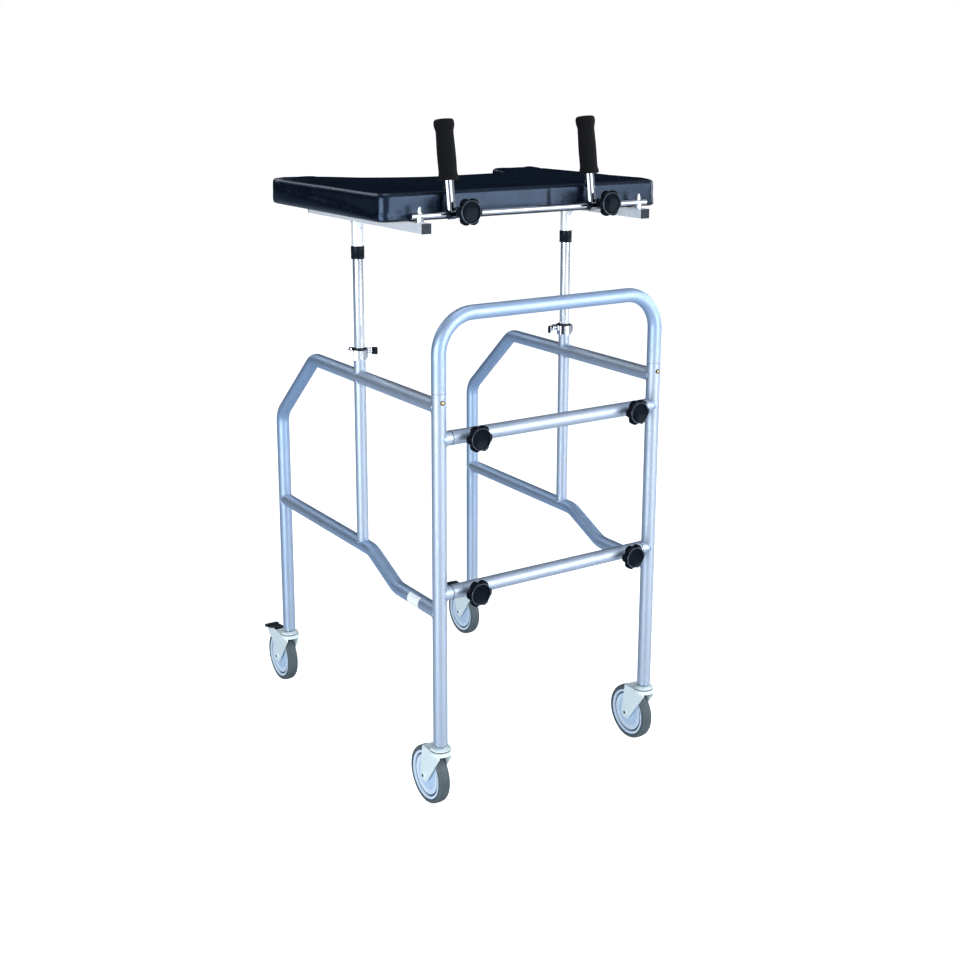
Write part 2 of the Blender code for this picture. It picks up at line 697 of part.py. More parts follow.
# ---------------------------------------------------------------- handles
def handle(side):
    """Sleeve that slides on the rod, the stem that tilts on it, the foam grip and the knob."""
    place = Vector((HANDLE_X[side], ROD_Y, ROD_Z))
    lean = Matrix.Rotation(-HANDLE_LEAN, 4, "X")
    barrel = rod_mesh((-0.0135, 0, 0), (0.0235, 0, 0), SLEEVE_R, 16)
    sleeve = add(f"handle_sleeve_{side}", barrel, None, place)
    lug = box_mesh((0.0108, -LUG_FACE, LUG_Z - 0.0075), (0.0225, -0.0020, LUG_Z + 0.0075))
    weld(sleeve, add("tool", lug, None, place))
    cut(sleeve, tool_rod(place - Vector((0.05, 0, 0)), place + Vector((0.05, 0, 0)), ROD_R + GAP, 14))
    knob_at = place + Vector((LUG_X, 0, LUG_Z))
    cut(sleeve, tool_rod(knob_at - Vector((0, 0.03, 0)), knob_at - Vector((0, 0.0120, 0)), 0.0036, 10))
    done(sleeve, "black_plastic")

    stem = add(f"handle_stem_{side}", rod_mesh((-0.0072, 0, 0), (0.0072, 0, 0), RING_R, 16), None, place)
    weld(stem, add("tool", rod_mesh((0, 0, 0.0030), (0, 0, STEM_TOP), STEM_R, 16), None, place, lean))
    cut(stem, tool_rod(place - Vector((0.05, 0, 0)), place + Vector((0.05, 0, 0)), SLEEVE_R + GAP, 16))
    done(stem, "chrome")

    start = GRIP_START
    bore = STEM_R + GAP
    grip_profile = [
        (bore, start),
        (0.0202, start),
        (0.0208, start + 0.0030),
        (0.0202, start + 0.0070),
        (0.0184, start + 0.0120),
        (0.0188, start + 0.0450),
        (0.0178, start + 0.0860),
        (0.0176, start + 0.0960),
        (0.0198, start + 0.1030),
        (0.0205, start + 0.1080),
        (0.0200, start + 0.1140),
        (0.0160, start + 0.1175),
        (0, start + 0.1185),
        (0, STEM_TOP + GAP),
        (bore, STEM_TOP + GAP),
    ]
    add(f"handle_grip_{side}", capped_turned(grip_profile, 16), "grip_foam", place, lean)

    knob = star_knob_mesh(0.0060)
    add(f"handle_knob_{side}", knob, "black_plastic", knob_at - Vector((0, LUG_FACE + GAP, 0)))


def capped_turned(profile, sides):
    """Turned shape whose closed profile touches the axis along one stretch, which is left out."""
    split = [i for i, (radius, _) in enumerate(profile) if radius == 0][0]
    return turned(profile[split + 1:] + profile[: split + 1], sides)


# ---------------------------------------------------------------- castors
def castor_head_mesh():
    """Stem, hexagon, upper dish and king pin, which stay still on the leg."""
    profile = [
        (0, 0.1900),
        (0.0118, 0.1900),
        (SPIGOT_R, 0.1880),
        (SPIGOT_R, LEG_BOTTOM),
        (0.0118, LEG_BOTTOM - GAP),
        (0.0118, 0.1430),
        (0.0170, 0.1425),
        (DISH_R, 0.1392),
        (DISH_R, 0.1350),
        (0.0060, 0.1350),
        (0.0060, 0.1268),
        (0.0090, 0.1266),
        (0.0080, 0.1236),
        (0, 0.1230),
    ]
    return turned(profile, 14, name="castor_head")


def fork_plate_outline(braked):
    """Side plate of the fork in y, z."""
    axle = (WHEEL_TRAIL, WHEEL_R)
    points = [(-0.0165, 0.1296), (-0.0190, 0.1225)]
    points += arc(axle, 0.0150, 218, 362, 5)
    if braked:
        points += [(0.0597, 0.0869), (0.0716, 0.1005), (0.0917, 0.1095), (0.0945, 0.1190), (0.0640, 0.1296)]
    else:
        points += [(0.0470, 0.1296)]
    return points


def fork_mesh(braked):
    """Fork with its crown, lower race and riveted axle."""
    crown = tool_rod((0, 0, 0.1272), (0, 0, 0.1346), 0.0232)
    back = 0.0500 if braked else 0.0470
    weld(crown, tool_box((-FORK_OUT, -0.0100, 0.1273), (FORK_OUT, back, 0.1298)))
    for s in (-1, 1):
        low, high = sorted((s * FORK_IN, s * FORK_OUT))
        weld(crown, add("tool", prism(fork_plate_outline(braked), low, high)))
    weld(crown, tool_rod((-0.0195, WHEEL_TRAIL, WHEEL_R), (0.0195, WHEEL_TRAIL, WHEEL_R), AXLE_R, 14))
    for s in (-1, 1):
        nut = ((s * 0.0150, WHEEL_TRAIL, WHEEL_R), (s * 0.0188, WHEEL_TRAIL, WHEEL_R))
        weld(crown, tool_rod(*nut, 0.0066, 6))
    cut(crown, tool_rod((0, 0, 0.12), (0, 0, 0.14), 0.0064, 16))
    if braked:
        pin = ((-FORK_IN - 0.001, PEDAL_Y, PEDAL_Z), (FORK_IN + 0.001, PEDAL_Y, PEDAL_Z))
        weld(crown, tool_rod(*pin, 0.0020, 10))
    mesh = crown.data
    bpy.data.objects.remove(crown)
    return mesh


def tyre_mesh():
    profile = [
        (0.0503, -0.0112),
        (0.0528, -0.0125),
        (0.0592, -0.0121),
        (0.0616, -0.0095),
        (WHEEL_R, -0.0040),
        (WHEEL_R, 0.0040),
        (0.0616, 0.0095),
        (0.0592, 0.0121),
        (0.0528, 0.0125),
        (0.0503, 0.0112),
    ]
    return turned(profile, TYRE_SIDES, "X", "tyre")


def wheel_centre_mesh():
    """Moulded centre with a ring groove in each face."""
    half = [
        (WHEEL_BORE, 0.0134),
        (0.0110, 0.0134),
        (0.0125, 0.0104),
        (0.0415, 0.0104),
        (0.0425, 0.0080),
        (0.0448, 0.0080),
        (0.0458, 0.0112),
        (0.0498, 0.0112),
    ]
    profile = half + [(radius, -x) for radius, x in reversed(half)]
    return turned(profile, 16, "X", "wheel_centre")


def pedal_mesh():
    """Rocker with a shoe over the tyre, a rear tread and a front tread, its origin on its pin."""
    rocker = [
        (0.0020, -0.0080),
        (0.0068, -0.0062),
        (0.0120, 0.0020),
        (0.0120, 0.0065),
        (-0.0180, 0.0105),
        (-0.0180, 0.0052),
        (-0.0100, 0.0028),
        (-0.0060, -0.0010),
    ]
    rear_tread = [(0.0110, 0.0035), (0.0295, -0.0010), (0.0310, 0.0060), (0.0120, 0.0115)]
    front_tread = [(-0.0185, 0.0100), (0.0060, 0.0072), (0.0060, 0.0100), (-0.0180, 0.0130)]
    body = add("tool", prism(rocker, -0.0130, 0.0130))
    weld(body, add("tool", prism(rear_tread, -0.0155, 0.0155)))
    weld(body, add("tool", prism(front_tread, -0.0133, 0.0133)))
    cut(body, tool_rod((-0.03, 0, 0), (0.03, 0, 0), 0.0023, 10))
    mesh = body.data
    bpy.data.objects.remove(body)
    return mesh


def castors():
    head = castor_head_mesh()
    forks = {"front": fork_mesh(False), "rear": fork_mesh(True)}
    tyre = tyre_mesh()
    centre = wheel_centre_mesh()
    pedal = pedal_mesh()
    for end, leg_y in (("front", FRONT_Y), ("rear", REAR_Y)):
        for side, s in SIDES.items():
            x = s * TRACK_HALF
            hub = (x, leg_y + WHEEL_TRAIL, WHEEL_R)
            add(f"castor_head_{end}_{side}", head, "zinc", (x, leg_y, 0))
            add(f"castor_fork_{end}_{side}", forks[end], "zinc", (x, leg_y, 0))
            add(f"castor_tyre_{end}_{side}", tyre, "tread_rubber", hub)
            add(f"castor_wheel_{end}_{side}", centre, "wheel_plastic", hub)
            if end == "rear":
                add(f"brake_pedal_{side}", pedal, "black_plastic", (x, leg_y + PEDAL_Y, PEDAL_Z))


# ---------------------------------------------------------------- assembly
def clear_scene():
    for obj in list(bpy.data.objects):
        bpy.data.objects.remove(obj)


def main():
    clear_scene()
    for side in SIDES:
        front_leg(side)
        spring_button(side)
        side_rail(side)
        lower_rail(side)
        centre_post(side)
        tray_column(side)
        height_clamp(side)
        clamp_lever(side)
        tray_tube(side)
        tube_plug(side, "front")
        tube_plug(side, "rear")
        rod_fixing(side)
        handle(side)
    hoop()
    for level in CROSSBAR_Z:
        crossbar(level)
    crossbar_knobs()
    handle_rod()
    arm_pad()
    pad_board()
    castors()


main()
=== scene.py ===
"""Looks of the walking frame: finishes, detailed soft and turned pieces, floor, light and camera."""

import math

import bmesh
import bpy
from mathutils import Matrix, Vector, noise


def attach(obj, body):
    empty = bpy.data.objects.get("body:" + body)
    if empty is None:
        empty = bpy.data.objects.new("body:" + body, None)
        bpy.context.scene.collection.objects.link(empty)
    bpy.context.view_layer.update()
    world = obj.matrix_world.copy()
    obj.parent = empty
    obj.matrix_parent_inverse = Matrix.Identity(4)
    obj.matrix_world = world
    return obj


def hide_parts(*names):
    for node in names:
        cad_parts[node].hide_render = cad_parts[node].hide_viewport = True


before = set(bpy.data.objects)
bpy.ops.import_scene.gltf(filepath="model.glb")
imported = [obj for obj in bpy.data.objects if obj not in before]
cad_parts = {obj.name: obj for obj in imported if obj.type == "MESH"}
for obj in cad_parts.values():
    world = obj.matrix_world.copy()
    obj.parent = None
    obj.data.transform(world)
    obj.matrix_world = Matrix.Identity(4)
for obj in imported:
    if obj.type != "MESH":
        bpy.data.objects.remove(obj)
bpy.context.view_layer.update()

# ---------------------------------------------------------------- places, as in the CAD model
TRACK = 0.271
FRONT_Y = -0.3964
POST_Y = FRONT_Y + 0.3245
REAR_Y = FRONT_Y + 0.7226
ROD_Y = FRONT_Y + 0.067
ROD_Z = 1.232
TUBE_R = 0.015
TUBE_BORE = 0.0133
POST_R = 0.0127
POST_BORE = 0.0113
POST_TOP = 0.925
LEG_BOTTOM = 0.1482
SEAM_Z = 0.893
BUTTON_Z = 0.876
HOOP_TOP = 1.0463
HOOP_BEND = 0.078
RAIL_Z = 0.866
RAIL_CORNER_Y = 0.1446
RAIL_KNEE_Z = 0.703
RAIL_BEND = 0.050
LOWER_REAR_Z = 0.4875
LOWER_FRONT_Z = 0.4365
DIP_FRONT_Y = -0.2264
DIP_REAR_Y = -0.1154
DIP_BEND = 0.060
CROSSBAR_END = 0.245
KNOB_X = 0.200
STUB_R = 0.0148
FIT_GAP = 0.0003
BUTTON_HOLE_R = 0.0040
WHEEL_R = 0.0625
WHEEL_TRAIL = 0.0415
SIDES = {"left": -1, "right": 1}
CASTOR_ENDS = {"front": FRONT_Y, "rear": REAR_Y}
HANDLE_X = {"left": -0.199, "right": 0.146}
HANDLE_LEAN = math.radians(9)
CROSSBAR_Z = {"upper": 0.7999, "lower": 0.4762}
PAD_LOW = 1.2193
PAD_TOP = 1.2793
PAD_FRONT = FRONT_Y + 0.0865
PAD_BACK = FRONT_Y + 0.596


# ---------------------------------------------------------------- procedural finishes
class Finish:
    """A Principled material whose colour, roughness and bump come from layered textures."""

    def __init__(
        self, name, roughness=0.4, metallic=0.0, coat=0.0, coat_roughness=0.1, ior=1.45, specular=0.5
    ):
        self.material = bpy.data.materials.new(name)
        self.material.use_nodes = True
        self.tree = self.material.node_tree
        self.shader = self.tree.nodes["Principled BSDF"]
        self.shader.inputs["Metallic"].default_value = metallic
        self.shader.inputs["Roughness"].default_value = roughness
        self.shader.inputs["Coat Weight"].default_value = coat
        self.shader.inputs["Coat Roughness"].default_value = coat_roughness
        self.shader.inputs["IOR"].default_value = ior
        self.shader.inputs["Specular IOR Level"].default_value = specular
        self.coords = self.tree.nodes.new("ShaderNodeTexCoord").outputs["Object"]
        self.colour = None
        self.heights = []

    def node(self, kind, inputs=None, **settings):
        made = self.tree.nodes.new(kind)
        for key, value in settings.items():
            setattr(made, key, value)
        for key, value in (inputs or {}).items():
            if isinstance(value, bpy.types.NodeSocket):
                self.tree.links.new(value, made.inputs[key])
            else:
                made.inputs[key].default_value = value
        return made

    def stretched(self, scale):
        return self.node("ShaderNodeMapping", {"Vector": self.coords, "Scale": scale}).outputs["Vector"]

    def noise(self, scale, detail=3.0, rough=0.55, distortion=0.0, vector=None):
        inputs = {"Vector": vector or self.coords, "Scale": scale, "Detail": detail}
        inputs.update({"Roughness": rough, "Distortion": distortion})
        return self.node("ShaderNodeTexNoise", inputs).outputs["Fac"]

    def cells(self, scale, feature="F1", vector=None, randomness=1.0):
        inputs = {"Vector": vector or self.coords, "Scale": scale, "Randomness": randomness}
        return self.node("ShaderNodeTexVoronoi", inputs, feature=feature).outputs["Distance"]

    def remap(self, value, low, high, to_low=0.0, to_high=1.0):
        inputs = {"Value": value, "From Min": low, "From Max": high, "To Min": to_low, "To Max": to_high}
        return self.node("ShaderNodeMapRange", inputs, clamp=True).outputs["Result"]

    def math(self, operation, a, b):
        made = self.node("ShaderNodeMath", None, operation=operation)
        for socket, value in zip(made.inputs, (a, b)):
            if isinstance(value, bpy.types.NodeSocket):
                self.tree.links.new(value, socket)
            else:
                socket.default_value = value
        return made.outputs[0]

    def blend(self, amount, a, b):
        made = self.node("ShaderNodeMix", None, data_type="RGBA")
        for socket, value in ((made.inputs[0], amount), (made.inputs[6], a), (made.inputs[7], b)):
            if isinstance(value, bpy.types.NodeSocket):
                self.tree.links.new(value, socket)
            elif isinstance(value, tuple):
                socket.default_value = (*value, 1.0)
            else:
                socket.default_value = value
        return made.outputs[2]

    def tint(self, amount, base, over):
        """Lays a colour over what is there, or over base at the start."""
        self.colour = self.blend(amount, self.colour or base, over)
        return self

    def rough(self, value, low, high, to_low, to_high):
        self.tree.links.new(self.remap(value, low, high, to_low, to_high), self.shader.inputs["Roughness"])
        return self

    def bump(self, height, strength, distance):
        inputs = {"Height": height, "Strength": strength, "Distance": distance}
        if self.heights:
            inputs["Normal"] = self.heights[-1]
        self.heights.append(self.node("ShaderNodeBump", inputs).outputs["Normal"])
        return self

    def edges(self, low, high):
        """Where the surface is convex, for wear."""
        pointy = self.tree.nodes.new("ShaderNodeNewGeometry").outputs["Pointiness"]
        return self.remap(pointy, low, high)

    def done(self):
        if self.colour:
            self.tree.links.new(self.colour, self.shader.inputs["Base Color"])
        if self.heights:
            self.tree.links.new(self.heights[-1], self.shader.inputs["Normal"])
        return self.material


def frame_paint():
    f = Finish("frame_paint", 0.46, 0.84, coat=0.06, coat_roughness=0.25)
    broad = f.remap(f.noise(5.0, 2.0), 0.35, 0.65)
    f.tint(broad, (0.34, 0.47, 0.67), (0.39, 0.52, 0.73))
    flake = f.remap(f.noise(2600.0, 2.0, 0.8), 0.56, 0.72, 0.0, 0.55)
    f.tint(flake, None, (0.72, 0.79, 0.90))
    dark_flake = f.remap(f.noise(1900.0, 1.0, 0.7), 0.60, 0.75, 0.0, 0.35)
    f.tint(dark_flake, None, (0.20, 0.25, 0.34))
    rubbed = f.math("MULTIPLY", f.edges(0.53, 0.62), f.noise(160.0, 4.0, 0.7))
    f.tint(rubbed, None, (0.55, 0.57, 0.60))
    f.rough(f.noise(60.0, 5.0, 0.6), 0.3, 0.7, 0.44, 0.56)
    f.bump(f.noise(420.0, 2.0), 0.10, 0.0004)
    f.bump(f.noise(2600.0, 1.0), 0.06, 0.0002)
    return f.done()


def bright_metal(name, colour, low, high, brushed=0.12, along=(900.0, 900.0, 14.0), metallic=1.0):
    """Chrome or zinc with faint drawing marks, haze and small scratches."""
    f = Finish(name, 0.1, metallic)
    haze = f.noise(34.0, 4.0, 0.6)
    f.tint(f.remap(haze, 0.35, 0.7), colour, tuple(0.88 * c for c in colour))
    scratch = f.noise(1.0, 3.0, 0.6, vector=f.stretched(along))
    marks = f.remap(scratch, 0.60, 0.74, 0.0, 0.5)
    f.tint(marks, None, tuple(0.72 * c for c in colour))
    f.rough(f.math("ADD", haze, f.math("MULTIPLY", marks, 0.5)), 0.3, 0.9, low, high)
    f.bump(scratch, brushed, 0.00015)
    f.bump(haze, 0.04, 0.0008)
    return f.done()


def zinc_plate():
    f = Finish("zinc_plate", 0.3, 0.28, coat=0.15, coat_roughness=0.2)
    spangle = f.remap(f.cells(700.0), 0.0, 0.8)
    f.tint(spangle, (0.90, 0.99, 1.0), (0.86, 0.97, 0.99))
    f.tint(f.remap(f.noise(60.0, 4.0), 0.52, 0.72, 0.0, 0.4), None, (0.82, 0.93, 0.86))
    f.rough(f.noise(220.0, 4.0), 0.3, 0.7, 0.28, 0.38)
    f.bump(f.noise(240.0, 3.0), 0.03, 0.0002)
    return f.done()


def moulded_black(name, gloss_low, gloss_high, colour=(0.004, 0.005, 0.009), grain=0.12, specular=0.3):
    f = Finish(name, 0.3, 0.0, ior=1.5, specular=specular)
    f.shader.inputs["Specular Tint"].default_value = (0.72, 0.86, 1.0, 1.0)
    f.tint(f.remap(f.noise(30.0, 3.0), 0.3, 0.7), colour, tuple(1.7 * c for c in colour))
    wear = f.math("MULTIPLY", f.edges(0.54, 0.66), f.noise(300.0, 4.0, 0.7))
    f.tint(wear, None, (0.050, 0.056, 0.070))
    f.rough(f.noise(140.0, 5.0, 0.65), 0.3, 0.7, gloss_low, gloss_high)
    f.bump(f.noise(1500.0, 3.0, 0.6), grain, 0.00025)
    return f.done()


def grip_foam():
    f = Finish("grip_foam", 0.8, 0.0, ior=1.4, specular=0.15)
    f.shader.inputs["Sheen Weight"].default_value = 0.03
    f.shader.inputs["Sheen Roughness"].default_value = 0.5
    pores = f.cells(1500.0)
    f.tint(f.remap(pores, 0.1, 0.7), (0.0015, 0.0015, 0.0020), (0.0065, 0.0065, 0.0080))
    f.tint(f.remap(f.noise(40.0, 4.0), 0.5, 0.8, 0.0, 0.6), None, (0.010, 0.010, 0.012))
    f.rough(pores, 0.0, 0.8, 0.72, 0.92)
    f.bump(pores, 0.45, 0.0005)
    f.bump(f.noise(260.0, 4.0), 0.25, 0.0006)
    return f.done()


def tread_rubber():
    f = Finish("tread_rubber", 0.6, 0.0)
    patches = f.remap(f.noise(45.0, 5.0, 0.6), 0.3, 0.7)
    f.tint(patches, (0.042, 0.066, 0.078), (0.072, 0.098, 0.110))
    dust = f.math("MULTIPLY", f.edges(0.50, 0.60), f.noise(260.0, 4.0, 0.7))
    f.tint(dust, None, (0.20, 0.21, 0.205))
    f.rough(f.noise(120.0, 4.0), 0.3, 0.7, 0.45, 0.68)
    f.bump(f.noise(700.0, 4.0, 0.65), 0.22, 0.0004)
    return f.done()


def wheel_plastic(name, light, dark):
    f = Finish(name, 0.4, 0.0, coat=0.08)
    f.tint(f.remap(f.noise(28.0, 3.0), 0.3, 0.7), dark, light)
    f.tint(f.remap(f.noise(260.0, 5.0, 0.7), 0.60, 0.78, 0.0, 0.45), None, tuple(0.62 * c for c in dark))
    f.rough(f.noise(150.0, 4.0), 0.3, 0.7, 0.32, 0.50)
    f.bump(f.noise(1200.0, 3.0), 0.10, 0.0002)
    return f.done()


def pad_vinyl():
    """Leathercloth: fine pebbled grain, soft creases, and slightly uneven gloss."""
    f = Finish("pad_vinyl", 0.36, 0.0, ior=1.5, specular=0.55)
    f.shader.inputs["Specular Tint"].default_value = (0.42, 0.64, 1.0, 1.0)
    grain = f.cells(1150.0, "SMOOTH_F1")
    coarse = f.cells(520.0, "F1")
    f.tint(f.remap(grain, 0.05, 0.55), (0.0012, 0.0020, 0.0050), (0.0034, 0.0050, 0.0120))
    f.tint(f.remap(f.noise(9.0, 4.0), 0.45, 0.75, 0.0, 0.5), None, (0.0050, 0.0075, 0.0160))
    f.rough(f.math("ADD", f.noise(24.0, 4.0), f.math("MULTIPLY", grain, 0.4)), 0.4, 1.0, 0.20, 0.34)
    f.bump(f.noise(14.0, 3.0, 0.5), 0.22, 0.004)
    f.bump(coarse, 0.16, 0.0005)
    f.bump(grain, 0.30, 0.0003)
    return f.done()


def thread_finish():
    f = Finish("pad_thread", 0.6, 0.0)
    f.shader.inputs["Sheen Weight"].default_value = 0.3
    strands = f.noise(1.0, 2.0, 0.5, vector=f.stretched((3000.0, 3000.0, 900.0)))
    f.tint(f.remap(strands, 0.3, 0.7), (0.006, 0.006, 0.010), (0.045, 0.047, 0.065))
    f.rough(strands, 0.3, 0.7, 0.45, 0.75)
    f.bump(strands, 0.4, 0.0002)
    return f.done()


def board_wood():
    f = Finish("board_wood", 0.65, 0.0)
    rings = f.noise(1.0, 6.0, 0.65, 0.6, vector=f.stretched((6.0, 60.0, 60.0)))
    f.tint(f.remap(rings, 0.3, 0.7), (0.20, 0.115, 0.055), (0.40, 0.26, 0.14))
    pores = f.noise(1.0, 2.0, 0.6, vector=f.stretched((60.0, 1400.0, 1400.0)))
    f.tint(f.remap(pores, 0.6, 0.72, 0.0, 0.7), None, (0.10, 0.055, 0.03))
    f.rough(rings, 0.3, 0.7, 0.55, 0.75)
    f.bump(pores, 0.3, 0.0004)
    return f.done()


def floor_finish():
    """Pale floor, paler in front and darker behind as painted light and shade, and lifted to white where
    the camera sees it.
    """
    f = Finish("floor", 0.18, 0.0, ior=1.35)
    split = f.node("ShaderNodeSeparateXYZ", {0: f.coords})
    ahead = f.math("SUBTRACT", f.math("MULTIPLY", split.outputs["X"], 0.55), split.outputs["Y"])
    # Paler where the key light falls in front, darker and bluer behind: painted light and shade.
    painted_light_front = f.remap(ahead, -0.8, 1.6)
    f.tint(painted_light_front, (0.46, 0.54, 0.63), (0.80, 0.83, 0.87))
    f.tint(f.remap(f.noise(1.2, 3.0), 0.3, 0.7, 0.0, 0.1), None, (0.85, 0.86, 0.87))
    f.rough(f.noise(6.0, 4.0), 0.3, 0.7, 0.16, 0.20)
    seen = f.tree.nodes.new("ShaderNodeLightPath").outputs["Is Camera Ray"]
    f.shader.inputs["Emission Color"].default_value = (1.0, 1.0, 1.0, 1.0)
    f.tree.links.new(f.math("MULTIPLY", seen, 1.0), f.shader.inputs["Emission Strength"])
    return f.done()


PAINT = frame_paint()
CHROME = bright_metal("chrome", (0.95, 0.97, 1.0), 0.14, 0.24, 0.08)
TUBE_CHROME = bright_metal("tray_tube_zinc", (0.90, 0.94, 1.0), 0.30, 0.46, 0.2, (900.0, 14.0, 900.0), 0.30)
ROD_CHROME = bright_metal("rod_chrome", (0.60, 0.63, 0.68), 0.07, 0.16, 0.12, (14.0, 900.0, 900.0))
# Chrome darkened for the handle stems: painted shade standing for the dark surroundings they reflect.
STEM_CHROME_PAINTED_SHADE = bright_metal("stem_chrome_painted_shade", (0.30, 0.32, 0.36), 0.05, 0.12)
BRASS = bright_metal("button_brass", (0.62, 0.44, 0.20), 0.18, 0.35, 0.2, (1200.0, 1200.0, 1200.0))
ZINC = zinc_plate()
NUT_ZINC = bright_metal("nut_zinc", (0.28, 0.37, 0.41), 0.16, 0.30, 0.1, (400.0, 400.0, 400.0))
BLACK = moulded_black("black_plastic", 0.28, 0.48, (0.003, 0.004, 0.007), 0.12, 0.16)
GLOSS_BLACK = moulded_black("knob_black", 0.22, 0.36, (0.0010, 0.0014, 0.0034), 0.06, 0.06)
CAP_BLACK = moulded_black("knob_cap", 0.18, 0.28, (0.0010, 0.0020, 0.0050), 0.03, 0.07)
# Lighter grey copy of the knob black for the cap's raised rim: a painted highlight.
RIM_PAINTED_HIGHLIGHT = moulded_black("knob_rim_painted_highlight", 0.22, 0.34, (0.0300, 0.0400, 0.0500), 0.03, 0.6)
FOAM = grip_foam()
RUBBER = tread_rubber()
WHEEL = wheel_plastic("wheel_grey", (0.52, 0.66, 0.85), (0.46, 0.59, 0.79))
WHEEL_RING = wheel_plastic("wheel_ring", (0.70, 0.81, 0.95), (0.62, 0.74, 0.90))
# Dark copy of the wheel plastic: painted shade in the groove and where the tyre sits.
WHEEL_SHADE = wheel_plastic("wheel_groove_painted_shade", (0.06, 0.09, 0.13), (0.04, 0.06, 0.10))
VINYL = pad_vinyl()
THREAD = thread_finish()
WOOD = board_wood()


# ---------------------------------------------------------------- pieces
def new_object(name, data):
    made = bpy.data.objects.new(name, data)
    bpy.context.scene.collection.objects.link(made)
    return made


def new_mesh(name, bm):
    """The mesh of a bmesh, which is then freed."""
    mesh = bpy.data.meshes.new(name)
    bm.to_mesh(mesh)
    bm.free()
    return mesh


def piece(name, bm, body, material, replaces=(), smooth=40.0):
    """An object made from a bmesh, riding on a body."""
    bmesh.ops.remove_doubles(bm, verts=bm.verts, dist=1e-6)
    bmesh.ops.recalc_face_normals(bm, faces=bm.faces)
    mesh = new_mesh(name, bm)
    mesh.shade_smooth()
    mesh.set_sharp_from_angle(angle=math.radians(smooth))
    for m in material if isinstance(material, (list, tuple)) else (material,):
        mesh.materials.append(m)
    made = new_object(name, mesh)
    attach(made, body)
    if replaces:
        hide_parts(*replaces)
    return made


def paint_node(name, material, bevel=0.0, segments=2, angle=38.0):
    """A better finish, and softened edges, for a CAD node that keeps its shape."""
    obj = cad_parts[name]
    for slot in obj.material_slots:
        slot.material = material
    if bevel:
        modifier = obj.modifiers.new("soft_edges", "BEVEL")
        modifier.width = bevel
        modifier.segments = segments
        modifier.limit_method = "ANGLE"
        modifier.angle_limit = math.radians(angle)
        modifier.harden_normals = False


def ring(bm, points):
    return [bm.verts.new(p) for p in points]


def full_turn(steps):
    """Angles once round a circle."""
    return [2 * math.pi * k / steps for k in range(steps)]


def circle(place, radius, height, steps):
    """Points of a circle round a matrix's Z, at a height; only its centre if it has no radius."""
    angles = full_turn(steps) if radius > 0 else [0.0]
    return [place @ Vector((radius * math.cos(a), radius * math.sin(a), height)) for a in angles]


def bridge(bm, a, b, material=0):
    n = max(len(a), len(b))
    for i in range(n):
        j = (i + 1) % n
        if len(a) == 1:
            corners = (a[0], b[i], b[j])
        elif len(b) == 1:
            corners = (a[i], a[j], b[0])
        else:
            corners = (a[i], a[j], b[j], b[i])
        bm.faces.new(corners).material_index = material


def turned(bm, profile, sides, place=None, closed=False, materials=None):
    """Turns (radius, height) points round Z, then moves the result by a matrix."""
    place = place or Matrix.Identity(4)
    rings = [ring(bm, circle(place, radius, height, sides)) for radius, height in profile]
    count = len(rings) if closed else len(rings) - 1
    for i in range(count):
        bridge(bm, rings[i], rings[(i + 1) % len(rings)], materials[i] if materials else 0)
    return rings


def tube_along(bm, points, radius, sides=8, closed=False, ripple=0.0, seed=0.0):
    """A round bead along a line of points."""
    n = len(points)
    rings = []
    for i, p in enumerate(points):
        before = points[(i - 1) % n] if closed or i else p
        after = points[(i + 1) % n] if closed or i < n - 1 else p
        way = (after - before).normalized()
        side = side - way * side.dot(way) if rings else way.orthogonal()
        side.normalize()
        up = way.cross(side)
        r = radius * (1.0 + ripple * math.sin(i * 2.1 + seed) + 0.5 * ripple * math.sin(i * 0.7 + seed * 3))
        around = full_turn(sides)
        rings.append(ring(bm, [p + side * (r * math.cos(a)) + up * (r * math.sin(a)) for a in around]))
    for a, b in zip(rings, rings[1:]):
        bridge(bm, a, b)
    if closed:
        first = rings[0]
        last = rings[-1]
        shift = min(range(sides), key=lambda k: (last[0].co - first[k].co).length)
        bridge(bm, last, first[shift:] + first[:shift])
    else:
        bm.faces.new(rings[0])
        bm.faces.new(rings[-1])


# ---------------------------------------------------------------- frame tubes
ACROSS = (1, 0, 0)
ALONG = (0, 1, 0)
UP = (0, 0, 1)
FORWARD = (0, -1, 0)


def painted(name, bm, replaces=(), smooth=30.0):
    """A painted piece of the frame."""
    return piece(name, bm, "frame", PAINT, replaces, smooth)


def facing_forward(x, y, z):
    """A place whose Z points forward, along -Y."""
    return Matrix.Translation((x, y, z)) @ Matrix.Rotation(math.radians(90), 4, "X")


def rounded_path(corners, radius, steps=18):
    """Points and directions along straight runs joined by arcs."""
    corners = [Vector(c) for c in corners]
    path = [(corners[0], (corners[1] - corners[0]).normalized())]
    for before, corner, after in zip(corners, corners[1:], corners[2:]):
        into = (corner - before).normalized()
        out = (after - corner).normalized()
        bend = into.angle(out)
        start = corner - into * (radius * math.tan(bend / 2))
        centre = corner + (out - into).normalized() * (radius / math.cos(bend / 2))
        for k in range(steps + 1):
            turn = Matrix.Rotation(bend * k / steps, 3, into.cross(out))
            path.append((centre + turn @ (start - centre), turn @ into))
    path.append((corners[-1], (corners[-1] - corners[-2]).normalized()))
    return path


